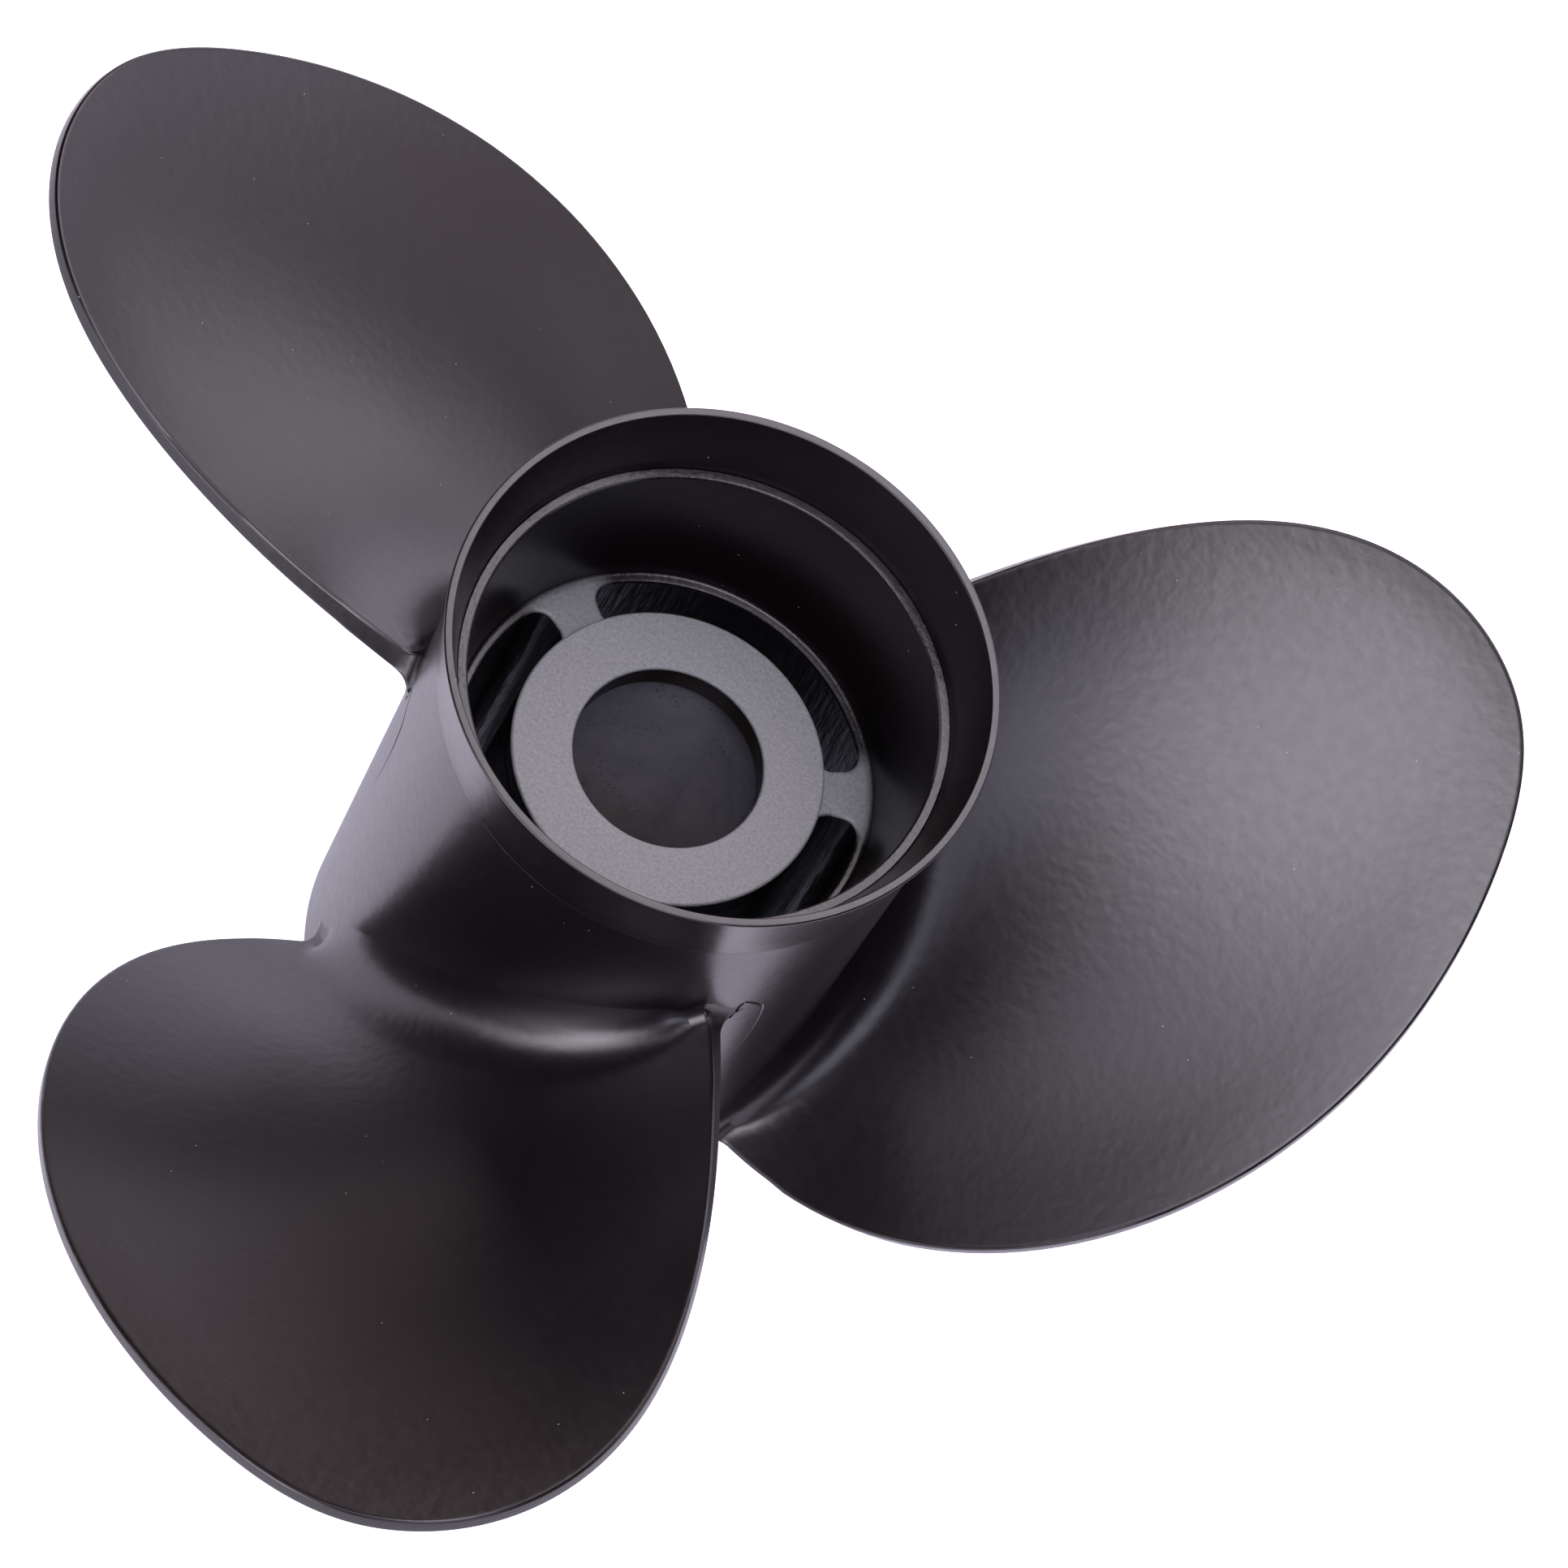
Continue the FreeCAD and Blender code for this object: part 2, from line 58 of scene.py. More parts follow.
RIM_RADIUS = ring_high.x / MM
RIM_HEIGHT = ring_high.z / MM
SEAM_HEIGHT = ring_low.z / MM
BARREL_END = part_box("propeller_casting")[1].z / MM
HUB_FRONT = sleeve_low.z / MM
SLEEVE_END = sleeve_high.z / MM
ADAPTER_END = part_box("spline_adapter")[1].z / MM
WASHER_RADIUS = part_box("thrust_washer")[1].x / MM

# ---------------------------------------------------------------- sizes of the casting

FRONT_RADIUS = 51.5
SEAM_RADIUS = 54.1
SPIGOT_RADIUS = 51.0
MOUTH_RADIUS = 48.8
LEDGE_RADIUS = 44.3
FRONT_INNER_RADIUS = 47.0
RIM_INNER_RADIUS = 55.4
RIM_ROUND = 0.4
# How late the ring flares outside and inside: powers of the share of its height.
FLARE_CURVE = 1.25
THROAT_CURVE = 1.1
FLARE_STEPS = 10
SEAM_ROUND = 0.05
SPIGOT_FOOT_ROUND = 0.2
HUB_RADIUS = 32.8
HUB_FRONT_RADIUS = 33.4
HUB_FACE = 107.0
HOLE_RADIUS = 19.9
HUB_WALL = 6.2
WEB_FACE = 101.4
WEB_FRONT = 18.0
SLOT_INNER = 32.9
SLOT_OUTER = 42.3
# Degrees that a slot spans, and where the first one's middle is.
SLOT_ARC = 104.0
SLOT_CENTRE = 36.2
SLOT_CORNER = 3.6
SLOT_EDGE_ROUND = 0.8
# Where the slot's cutter starts, in front of the webs, and a row half way.
SLOT_CUT_HEIGHTS = (2.0, 60.0)
SOCKET_RADIUS = 25.8
SOCKET_FLAT = 23.7
SOCKET_ANGLE = 18.9
SLEEVE_GAP = 0.05
SLEEVE_WALL = 3.0
ADAPTER_RADIUS = 22.7
ADAPTER_FLAT = 19.5
SPLINE_TEETH = 15
SPLINE_MINOR = 12.4
SPLINE_MAJOR = 14.0
# Half widths of a spline's space at the minor and the major radius.
SPACE_FOOT = 1.25
SPACE_HEAD = 1.08
PILOT_RADIUS = 14.2
PILOT_DEPTH = 6.0
WASHER_BORE = 14.4
WASHER_SEAT = 17.4
WASHER_SEAT_DEPTH = 3.0
CUTTER_OVERRUN = 2.0

# ---------------------------------------------------------------- the blade

ROOT_RADIUS = 53.1
TIP_RADIUS = 184.1
# Height of the face on the blade's own line, and how that line leans and curls aft.
CENTRE_HEIGHT = 86.5
RAKE_SLOPE = 0.259
RAKE_CURL = 0.00007
# Pitch at the root, its change per millimetre outwards, and the face's hollow across the blade.
PITCH = 314.4
PITCH_CHANGE = -0.17
FACE_BEND = -1.9
ROOT_THICKNESS = 11.0
EDGE_THICKNESS = 3.3
EDGE_THICKENING = 1.6
EDGE_ROUND = 0.8
EDGE_MARGIN = 4.5

# Poles of the outline, leading root to tip to trailing root: radius, and angle in degrees.
OUTLINE_POLES = np.array(
    (
        (22.9, -69.5),
        (47.4, -76.6),
        (95.6, -73.1),
        (153.6, -44.7),
        (181.2, -20.9),
        (188.6, -10.4),
        (157.2, 6.0),
        (86.0, 13.8),
        (62.0, 17.1),
    )
)
OUTLINE_END_SLOPE = (OUTLINE_POLES[-1, 1] - OUTLINE_POLES[-2, 1]) / (
    OUTLINE_POLES[-1, 0] - OUTLINE_POLES[-2, 0]
)

# The face falls away by this depth within this distance of the outline.
ROLL_WIDTH = 14.0
ROLL_DEPTH = 0.4

# Poles of the groove on the barrel beside the trailing root: degrees and height.
MARK_POLES = np.array(
    (
        (24.6, 95.5),
        (24.9, 100.5),
        (25.6, 104.5),
        (29.0, 101.5),
        (32.4, 98.5),
        (33.6, 91.0),
        (34.0, 82.0),
        (33.0, 72.0),
    )
)
MARK_RADIUS = 0.5
MARK_END_RADIUS = 0.05

# Fillet radii at the root: in mid chord on each face, and where the fillet meets the edges.
ROOT_FILLET_AFT = 17.0
ROOT_FILLET_AFT_TRAILING = 4.5
ROOT_FILLET_FORE = 10.0
ROOT_FILLET_LEADING = 5.0
ROOT_FILLET_TRAILING = 3.5
# Fillet radii round each edge's end, at its aft and its fore corner.
LEADING_FLARE = (5.0, 5.0)
TRAILING_FLARE = (1.5, 5.5)
# Heights above the barrel of the rows of points in the fillet.
FILLET_LEVELS = (0.0, 0.15, 0.5, 1.0, 1.7, 2.6, 3.7, 5.0, 6.5, 8.2, 10.0, 12.0, 14.0, 16.5)
FILLET_SINK = 0.1
FILLET_TOP = ROOT_RADIUS + FILLET_LEVELS[-1] + 3.0
ROLL_START = FILLET_TOP - 10.0
FOOT_DEPTH = 2.5
# Above the fillet the edges turn from upright to square with the face over this height.
TWIST_ZONE = 25.0
TIP_CORNER_RADIUS = 0.93 * TIP_RADIUS
SPAN_ROWS = 44
CHORD_COLUMNS = 48
CORNER_STEPS = 4
OUTLINE_SAMPLES = 600
# A place on the outline's straight end, where 1 is the last pole and 2 is the shaft's axis.
NEAR_AXIS = 1.9


def pitch_at(radius):
    return PITCH + PITCH_CHANGE * (radius - ROOT_RADIUS)


def face_height(radius, angle):
    reach = radius - ROOT_RADIUS
    rake = (RAKE_SLOPE + RAKE_CURL * reach) * reach
    return CENTRE_HEIGHT + rake + pitch_at(radius) / (2 * math.pi) * angle + FACE_BEND * angle**2


def face_normal(radius, angle):
    """Aft-pointing unit normal of the pressure face, as radial, tangential and axial parts."""
    small = 0.01
    slope_out = (face_height(radius + small, angle) - face_height(radius - small, angle)) / (2 * small)
    slope_round = (face_height(radius, angle + 1e-4) - face_height(radius, angle - 1e-4)) / 2e-4
    normal = np.stack((-slope_out, -slope_round / radius, np.ones_like(radius)), axis=-1)
    return normal / np.linalg.norm(normal, axis=-1, keepdims=True)


def barrel_radius(height):
    return FRONT_RADIUS + (SEAM_RADIUS - FRONT_RADIUS) / SEAM_HEIGHT * height


def b_spline(poles, place):
    """A clamped uniform cubic B-spline at one place between 0 and 1."""
    degree = 3
    spans = len(poles) - degree
    knots = np.concatenate((np.zeros(degree), np.linspace(0, 1, spans + 1), np.ones(degree)))
    span = min(int(place * spans), spans - 1) + degree
    points = [poles[span - degree + i].astype(float) for i in range(degree + 1)]
    for level in range(1, degree + 1):
        for i in range(degree, level - 1, -1):
            low = knots[span - degree + i]
            high = knots[span + 1 + i - level]
            share = (place - low) / (high - low)
            points[i] = (1 - share) * points[i - 1] + share * points[i]
    return points[degree]


def outline(place):
    """Radius and angle (radians) on the outline; past 1 it runs straight on to the root."""
    if place <= 1:
        radius, angle = b_spline(OUTLINE_POLES, place)
    else:
        radius = OUTLINE_POLES[-1, 0] * (2 - place)
        angle = OUTLINE_POLES[-1, 1] + OUTLINE_END_SLOPE * (radius - OUTLINE_POLES[-1, 0])
    return radius, math.radians(angle)


def outline_tip():
    places = np.linspace(0, 1, 2001)
    radii = [outline(place)[0] for place in places]
    return places[int(np.argmax(radii))]


def outline_at(radius, low, high):
    """The place between low and high where the outline has this radius."""
    rising = outline(low)[0] < outline(high)[0]
    for _ in range(60):
        middle = (low + high) / 2
        if (outline(middle)[0] < radius) == rising:
            low = middle
        else:
            high = middle
    return (low + high) / 2


def rim_profile():
    """Across the blade's edge, from its aft corner to its fore corner.

    Each point is a distance in from the edge, a depth below the nearer face, and 1 for the aft
    half or -1 for the fore half.
    """
    points = [(EDGE_ROUND + 0.4, 0.0, 1), (EDGE_ROUND, 0.0, 1)]
    for step in range(1, CORNER_STEPS + 1):
        turn = math.pi / 2 * step / CORNER_STEPS
        points.append((EDGE_ROUND * (1 - math.sin(turn)), EDGE_ROUND * (1 - math.cos(turn)), 1))
    return points + [(inward, depth, -1) for inward, depth, _ in reversed(points)]


RIM = rim_profile()


def edge_thickness(radius):
    span = np.clip((radius - ROOT_RADIUS) / (TIP_RADIUS - ROOT_RADIUS), 0, 1)
    return EDGE_THICKNESS + EDGE_THICKENING * (1 - span) ** 3


def sunk_depth(radius, depth, side):
    return depth if side > 0 else edge_thickness(radius) - depth


def blend_weight(radius, start, width):
    share = np.clip((radius - start) / width, 0, 1)
    return share * share * (3 - 2 * share)


def unit(vectors):
    return vectors / np.linalg.norm(vectors, axis=-1, keepdims=True)


def flat_part(vectors):
    """The vectors without their radial part, at unit length."""
    flat = vectors.copy()
    flat[..., 0] = 0
    return unit(flat)


def moved(place, step):
    """Cylindrical points (radius, angle, height) moved by (radial, tangential, axial) steps."""
    out = np.array(place, dtype=float)
    out[..., 0] += step[..., 0]
    out[..., 1] += step[..., 1] / np.maximum(place[..., 0], 1.0)
    out[..., 2] += step[..., 2]
    return out


def on_face(radius, angle):
    return np.stack((radius, angle, face_height(radius, angle)), axis=-1)


def coons(bottom, top, left, right):
    """A grid filling four boundary curves, as arrays of points; bottom and top run left to right."""
    rows, columns = len(left), len(bottom)
    up = np.linspace(0, 1, rows)[:, None, None]
    across = np.linspace(0, 1, columns)[None, :, None]
    between_sides = left[:, None] * (1 - across) + right[:, None] * across
    between_ends = bottom[None] * (1 - up) + top[None] * up
    corners = (
        bottom[0] * (1 - across) * (1 - up)
        + bottom[-1] * across * (1 - up)
        + top[0] * (1 - across) * up
        + top[-1] * across * up
    )
    return between_sides + between_ends - corners


def outline_points():
    """Points of the outline seen along the shaft, from the barrel out and back to the barrel."""
    tip = outline_tip()
    start = outline_at(ROOT_RADIUS - 2 * ROLL_WIDTH, 0.0, tip)
    end = outline_at(ROOT_RADIUS - 2 * ROLL_WIDTH, tip, NEAR_AXIS)
    polar = np.array([outline(place) for place in np.linspace(start, end, OUTLINE_SAMPLES)])
    return to_plane(polar)


def rolled(points):
    """Points of the blade lowered near its outline, where the real face falls away a little."""
    plane = to_plane(points).reshape(-1, 1, 2)
    away = np.linalg.norm(plane - EDGE_LINE[None], axis=2).min(axis=1).reshape(points.shape[:-1])
    fade = np.clip(1 - away / ROLL_WIDTH, 0, 1) ** 2
    at_root = blend_weight(points[..., 0], ROLL_START, TWIST_ZONE)
    out = points.copy()
    out[..., 2] -= ROLL_DEPTH * fade * at_root
    return out


def outline_frame(places):
    """Points of the outline on the face with inward and normal directions there."""
    radius, angle = np.array([outline(place) for place in places]).T
    small = 1e-4
    ahead = np.array([outline(place + small) for place in places])
    behind = np.array([outline(place - small) for place in places])
    tangent = np.stack(
        (
            ahead[:, 0] - behind[:, 0],
            radius * (ahead[:, 1] - behind[:, 1]),
            face_height(ahead[:, 0], ahead[:, 1]) - face_height(behind[:, 0], behind[:, 1]),
        ),
        axis=-1,
    )
    normal = face_normal(radius, angle)
    inward = unit(np.cross(normal, unit(tangent)))
    weight = blend_weight(radius, FILLET_TOP, TWIST_ZONE)[:, None]
    inward = unit(inward * weight + flat_part(inward) * (1 - weight))
    return on_face(radius, angle), inward, normal


def inset(places, distance):
    point, inward, _ = outline_frame(places)
    spot = moved(point, inward * distance)
    return on_face(spot[:, 0], spot[:, 1])


def to_plane(points):
    return np.stack(
        (points[..., 0] * np.cos(points[..., 1]), points[..., 0] * np.sin(points[..., 1])), axis=-1
    )


def to_face(plane):
    radius = np.hypot(plane[..., 0], plane[..., 1])
    return on_face(radius, np.arctan2(plane[..., 1], plane[..., 0]))


EDGE_LINE = outline_points()


def blade_places():
    """Places on the outline: leading rows, tip columns and trailing rows above the root zone."""
    tip = outline_tip()
    lead_low = outline_at(FILLET_TOP, 0.0, tip)
    lead_high = outline_at(TIP_CORNER_RADIUS, 0.0, tip)
    trail_high = outline_at(TIP_CORNER_RADIUS, tip, NEAR_AXIS)
    trail_low = outline_at(FILLET_TOP, tip, NEAR_AXIS)
    leading = np.linspace(lead_low, lead_high, SPAN_ROWS + 1)
    trailing = np.linspace(trail_low, trail_high, SPAN_ROWS + 1)
    across = np.linspace(lead_high, trail_high, CHORD_COLUMNS + 1)
    return leading, across, trailing


def chord_share():
    return np.linspace(0, 1, CHORD_COLUMNS + 1)


def thickness(radius, share):
    span = np.clip((radius - ROOT_RADIUS) / (TIP_RADIUS - ROOT_RADIUS), 0, 1)
    edge = edge_thickness(radius)
    return edge + (ROOT_THICKNESS - edge) * (1 - span) ** 1.1 * (1 - (2 * share - 1) ** 2)


def fillet_height(level, radius):
    """How far a fillet of this radius stands off the blade at a level above the barrel."""
    gap = np.clip(radius - level, 0, None)
    return radius - np.sqrt(np.clip(radius**2 - gap**2, 0, None))


def fillet_along(share, middle, trailing):
    """The root fillet's radius along the chord: small at the leading edge, largest in the middle."""
    bulge = np.sin(math.pi * np.clip(share, 0, 1)) ** 0.6
    end = np.where(share < 0.5, ROOT_FILLET_LEADING, trailing)
    return end + (middle - end) * bulge


def blade_rings():
    """Closed rings of cylindrical points round the blade, from the foot to the last row."""
    tip = outline_tip()
    share = chord_share()
    rings = []
    aft_radius = fillet_along(share, ROOT_FILLET_AFT, ROOT_FILLET_AFT_TRAILING)
    fore_radius = fillet_along(share, ROOT_FILLET_FORE, ROOT_FILLET_TRAILING)
    for level in FILLET_LEVELS:
        radius = ROOT_RADIUS + level
        lead = outline_at(radius, 0.0, tip)
        trail = outline_at(radius, tip, NEAR_AXIS)
        rings.append(
            section_ring(radius, lead, trail, share, level, aft_radius, fore_radius)
        )
    return rings


def section_ring(radius, lead, trail, share, level, aft_radius, fore_radius):
    ends, inward, normal = outline_frame(np.array((lead, trail)))
    flat_inward = flat_part(inward)
    starts = inset(np.array((lead, trail)), EDGE_MARGIN)
    angles = starts[0, 1] + (starts[1, 1] - starts[0, 1]) * share
    face = on_face(np.full_like(angles, radius), angles)
    face_normals = face_normal(face[:, 0], face[:, 1])
    outward = flat_part(face_normals)
    lean = np.sum(face_normals * outward, axis=1)
    depth = thickness(face[:, 0], share) / lean
    aft_step = fillet_height(level, aft_radius)
    fore_step = fillet_height(level, fore_radius)
    aft = moved(face, outward * aft_step[:, None])
    fore = moved(face, outward * (-depth - fore_step)[:, None])
    bands = []
    for end, flare in ((0, LEADING_FLARE), (1, TRAILING_FLARE)):
        out = flat_part(normal[end])
        end_lean = float(np.dot(normal[end], out))
        column = 0 if end == 0 else -1
        band = []
        for distance, below, side in RIM:
            sunk = sunk_depth(radius, below, side)
            across = sunk / edge_thickness(radius)
            flared = fillet_height(level, flare[0] + (flare[1] - flare[0]) * across)
            swell = aft_step[column] * (1 - across) - fore_step[column] * across
            spot = moved(ends[end], flat_inward[end] * distance)
            step = out * (swell - sunk / end_lean) - flat_inward[end] * flared
            band.append(moved(on_face(spot[0], spot[1]), step))
        bands.append(np.array(band))
    leading_band, trailing_band = bands
    ring = np.concatenate((aft, trailing_band, fore[::-1], leading_band[::-1]))
    height = ring[:, 2]
    ring[:, 0] = barrel_radius(height) + (level - FILLET_SINK)
    return ring


def upper_rings():
    """Rings of the blade above the root zone, and the band over the tip."""
    leading, across, trailing = blade_places()
    tip = outline_tip()
    share = chord_share()
    lead_inset = to_plane(inset(leading, EDGE_MARGIN))
    trail_inset = to_plane(inset(trailing, EDGE_MARGIN))
    top_inset = to_plane(inset(across, EDGE_MARGIN))
    start, end = inset(np.array((leading[0], trailing[0])), EDGE_MARGIN)
    arc = start[1] + (end[1] - start[1]) * share
    bottom = to_plane(on_face(np.full_like(arc, start[0]), arc))
    grid = coons(bottom, top_inset, lead_inset, trail_inset)
    face = to_face(grid)
    normals = face_normal(face[..., 0], face[..., 1])
    weight = blend_weight(face[..., 0], FILLET_TOP, TWIST_ZONE)[..., None]
    outward = unit(normals * weight + flat_part(normals) * (1 - weight))
    lean = np.sum(normals * outward, axis=-1)
    depth = thickness(face[..., 0], share[None]) / lean
    fore = moved(face, -outward * depth[..., None])
    rings = []
    lead_band = rim_band(leading)
    trail_band = rim_band(trailing)
    for row in range(SPAN_ROWS + 1):
        ring = np.concatenate((face[row], trail_band[row], fore[row][::-1], lead_band[row][::-1]))
        rings.append(ring)
    return rings, rim_band(across)


def rim_band(places):
    """The rounded edge band at each place: an array of places by profile points."""
    point, inward, normal = outline_frame(places)
    radius = point[:, 0]
    weight = blend_weight(radius, FILLET_TOP, TWIST_ZONE)[:, None]
    outward = unit(normal * weight + flat_part(normal) * (1 - weight))
    lean = np.sum(normal * outward, axis=1, keepdims=True)
    bands = []
    for distance, depth, side in RIM:
        sunk = np.broadcast_to(sunk_depth(radius, depth, side), radius.shape)[:, None]
        spot = moved(point, inward * distance)
        spot = on_face(spot[:, 0], spot[:, 1])
        bands.append(moved(spot, -outward * (sunk / lean)))
    return np.stack(bands, axis=1)


def cartesian(points):
    radius, angle, height = points[..., 0], points[..., 1], points[..., 2]
    return np.stack((radius * np.cos(angle), radius * np.sin(angle), height), axis=-1) * MM


def blade_mesh():
    """Vertices and faces of one closed blade whose foot ends inside the barrel's wall."""
    low = blade_rings()
    foot = low[0].copy()
    foot[:, 0] = barrel_radius(foot[:, 2]) - FOOT_DEPTH
    high, tip_band = upper_rings()
    rings = [rolled(ring) for ring in [foot] + low + high]
    tip_band = rolled(tip_band)
    count = len(rings[0])
    verts = [tuple(p) for ring in rings for p in cartesian(ring)]
    faces = []
    for row in range(len(rings) - 1):
        for column in range(count):
            after = (column + 1) % count
            a, b = row * count + column, row * count + after
            faces.append((a, b, b + count, a + count))
    columns = CHORD_COLUMNS + 1
    profile = len(RIM)

    def aft(row, column):
        return row * count + column

    def fore(row, column):
        return row * count + columns + profile + (columns - 1 - column)

    def trailing(row, step):
        return row * count + columns + step

    def leading(row, step):
        return row * count + 2 * columns + profile + (profile - 1 - step)

    # the foot's cap, inside the barrel's wall
    for column in range(columns - 1):
        faces.append((aft(0, column), fore(0, column), fore(0, column + 1), aft(0, column + 1)))
    trailing_foot = [trailing(0, step) for step in reversed(range(profile))]
    faces.append(trailing_foot + [aft(0, columns - 1), fore(0, columns - 1)])
    faces.append([aft(0, 0)] + [leading(0, step) for step in range(profile)] + [fore(0, 0)])

    # the band over the tip, between the last row's two faces
    last = len(rings) - 1
    band = np.empty((columns, profile), dtype=int)
    for column in range(columns):
        for step in range(profile):
            if column == 0:
                band[column, step] = leading(last, step)
            elif column == columns - 1:
                band[column, step] = trailing(last, step)
            else:
                band[column, step] = len(verts)
                verts.append(tuple(cartesian(tip_band[column, step])))
    for column in range(columns - 1):
        here, after = band[column], band[column + 1]
        faces.append((aft(last, column), aft(last, column + 1), after[0], here[0]))
        for step in range(profile - 1):
            faces.append((here[step], after[step], after[step + 1], here[step + 1]))
        faces.append((here[-1], after[-1], fore(last, column + 1), fore(last, column)))
    return verts, [tuple(int(i) for i in face) for face in faces]


# ---------------------------------------------------------------- mesh helpers

# A corner whose half angle is above this needs no rounding.
NEARLY_STRAIGHT = 1.54


def make_object(name, verts, faces):
    mesh = bpy.data.meshes.new(name)
    mesh.from_pydata(verts, [], faces)
    mesh.validate()
    obj = bpy.data.objects.new(name, mesh)
    bpy.context.scene.collection.objects.link(obj)
    tidy_mesh(obj)
    return obj


def tidy_mesh(obj):
    work = bmesh.new()
    work.from_mesh(obj.data)
    bmesh.ops.remove_doubles(work, verts=work.verts, dist=1e-7)
    bmesh.ops.recalc_face_normals(work, faces=work.faces)
    for face in work.faces:
        face.smooth = True
    work.to_mesh(obj.data)
    work.free()


def rounded_profile(corners, steps=5, longest=3.0):
    """A closed polygon of (radius, height, rounding) corners as points, long sides divided."""
    points = []
    count = len(corners)
    for index in range(count):
        here = np.array(corners[index][:2], float)
        before = np.array(corners[index - 1][:2], float)
        after = np.array(corners[(index + 1) % count][:2], float)
        rounding = corners[index][2]
        to_before = (before - here) / np.linalg.norm(before - here)
        to_after = (after - here) / np.linalg.norm(after - here)
        half = math.acos(np.clip(np.dot(to_before, to_after), -1, 1)) / 2
        if rounding <= 0 or half > NEARLY_STRAIGHT:
            points.append(here)
            continue
        reach = rounding / math.tan(half)
        centre = here + (to_before + to_after) / np.linalg.norm(to_before + to_after) * (
            rounding / math.sin(half)
        )
        start, end = here + to_before * reach - centre, here + to_after * reach - centre
        sweep = math.pi - 2 * half
        turn = 1.0 if start[0] * end[1] - start[1] * end[0] > 0 else -1.0
        for step in range(steps + 1):
            angle = turn * sweep * step / steps
            cos, sin = math.cos(angle), math.sin(angle)
            turned = (start[0] * cos - start[1] * sin, start[0] * sin + start[1] * cos)
            points.append(centre + np.array(turned))
    divided = []
    for here, after in zip(points, points[1:] + points[:1]):
        pieces = max(1, int(np.linalg.norm(after - here) / longest))
        divided += [here + (after - here) * part / pieces for part in range(pieces)]
    return divided


def revolved(name, profile, segments=240):
    verts, faces = [], []
    count = len(profile)
    for segment in range(segments):
        angle = 2 * math.pi * segment / segments
        cos, sin = math.cos(angle) * MM, math.sin(angle) * MM
        verts += [(r * cos, r * sin, z * MM) for r, z in profile]
    for segment in range(segments):
        here, after = segment * count, (segment + 1) % segments * count
        for index in range(count):
            following = (index + 1) % count
            faces.append((here + index, after + index, after + following, here + following))
    return make_object(name, verts, faces)


def stacked(name, loops):
    """A closed solid from loops of points, each loop joined to the next and the ends capped."""
    count = len(loops[0])
    verts = [(x * MM, y * MM, z * MM) for loop in loops for x, y, z in loop]
    faces = []
    for level in range(len(loops) - 1):
        for index in range(count):
            after = (index + 1) % count
            a, b = level * count + index, level * count + after
            faces.append((a, b, b + count, a + count))
    faces.append(tuple(reversed(range(count))))
    faces.append(tuple(range((len(loops) - 1) * count, len(loops) * count)))
    return make_object(name, verts, faces)


def combine(target, other, operation):
    """Joins or cuts the target with another closed mesh, which is used up."""
    modifier = target.modifiers.new(operation.lower(), "BOOLEAN")
    modifier.operation = operation
    modifier.solver = "EXACT"
    modifier.object = other
    apply_modifiers(target)
    bpy.data.objects.remove(other)


def apply_modifiers(obj):
    graph = bpy.context.evaluated_depsgraph_get()
    mesh = bpy.data.meshes.new_from_object(obj.evaluated_get(graph))
    obj.modifiers.clear()
    obj.data = mesh


# ---------------------------------------------------------------- pieces


def kidney(angle, spread, height, steps=40):
    """The slot's outline grown by spread, at a height, as a closed loop."""
    inner, outer = SLOT_INNER, SLOT_OUTER + spread
    corner = SLOT_CORNER + spread / 2
    half = math.radians(SLOT_ARC) / 2
    points = []

    def arc(centre_radius, centre_angle, start, end, radius, count):
        for step in range(count + 1):
            turn = start + (end - start) * step / count
            points.append(
                (
                    centre_radius * math.cos(centre_angle) + radius * math.cos(turn),
                    centre_radius * math.sin(centre_angle) + radius * math.sin(turn),
                )
            )

    outer_centre = outer - corner
    inner_centre = inner + corner
    grown = half + spread / ((inner + outer) / 2)
    outer_turn = grown - math.asin(corner / outer_centre)
    inner_turn = grown - math.asin(corner / inner_centre)
    quarter = math.pi / 2
    arc(0, 0, -outer_turn, outer_turn, outer, steps)
    arc(outer_centre, outer_turn, outer_turn, grown + quarter, corner, 8)
    arc(inner_centre, inner_turn, grown + quarter, inner_turn + math.pi, corner, 8)
    arc(0, 0, inner_turn, -inner_turn, inner, steps)
    arc(inner_centre, -inner_turn, math.pi - inner_turn, 3 * quarter - grown, corner, 8)
    arc(outer_centre, -outer_turn, -quarter - grown, -outer_turn, corner, 8)
    cos, sin = math.cos(angle), math.sin(angle)
    return [(x * cos - y * sin, x * sin + y * cos, height) for x, y in points]


def tube(name, centres, radii, sides=10):
    """A closed tube along a line of points, with its own radius at each point."""
    loops = []
    for index, (centre, radius) in enumerate(zip(centres, radii)):
        before, after = centres[max(index - 1, 0)], centres[min(index + 1, len(centres) - 1)]
        along = unit(after - before)
        side = unit(np.cross(along, np.array((centre[0], centre[1], 0.0))))
        up = np.cross(side, along)
        turns = [2 * math.pi * step / sides for step in range(sides)]
        loops.append([centre + radius * (math.cos(t) * side + math.sin(t) * up) for t in turns])
    return stacked(name, loops)


def casting_mark():
    """The groove that the mould leaves on the barrel round each blade's trailing root."""
    centres, radii = [], []
    for share in np.linspace(0, 1, 40):
        degrees, height = b_spline(MARK_POLES, share)
        radius, angle = barrel_radius(height), math.radians(degrees)
        centres.append(np.array((radius * math.cos(angle), radius * math.sin(angle), height)))
        radii.append(MARK_RADIUS * (1 - share**2) + MARK_END_RADIUS)
    return tube("casting_mark", centres, radii)


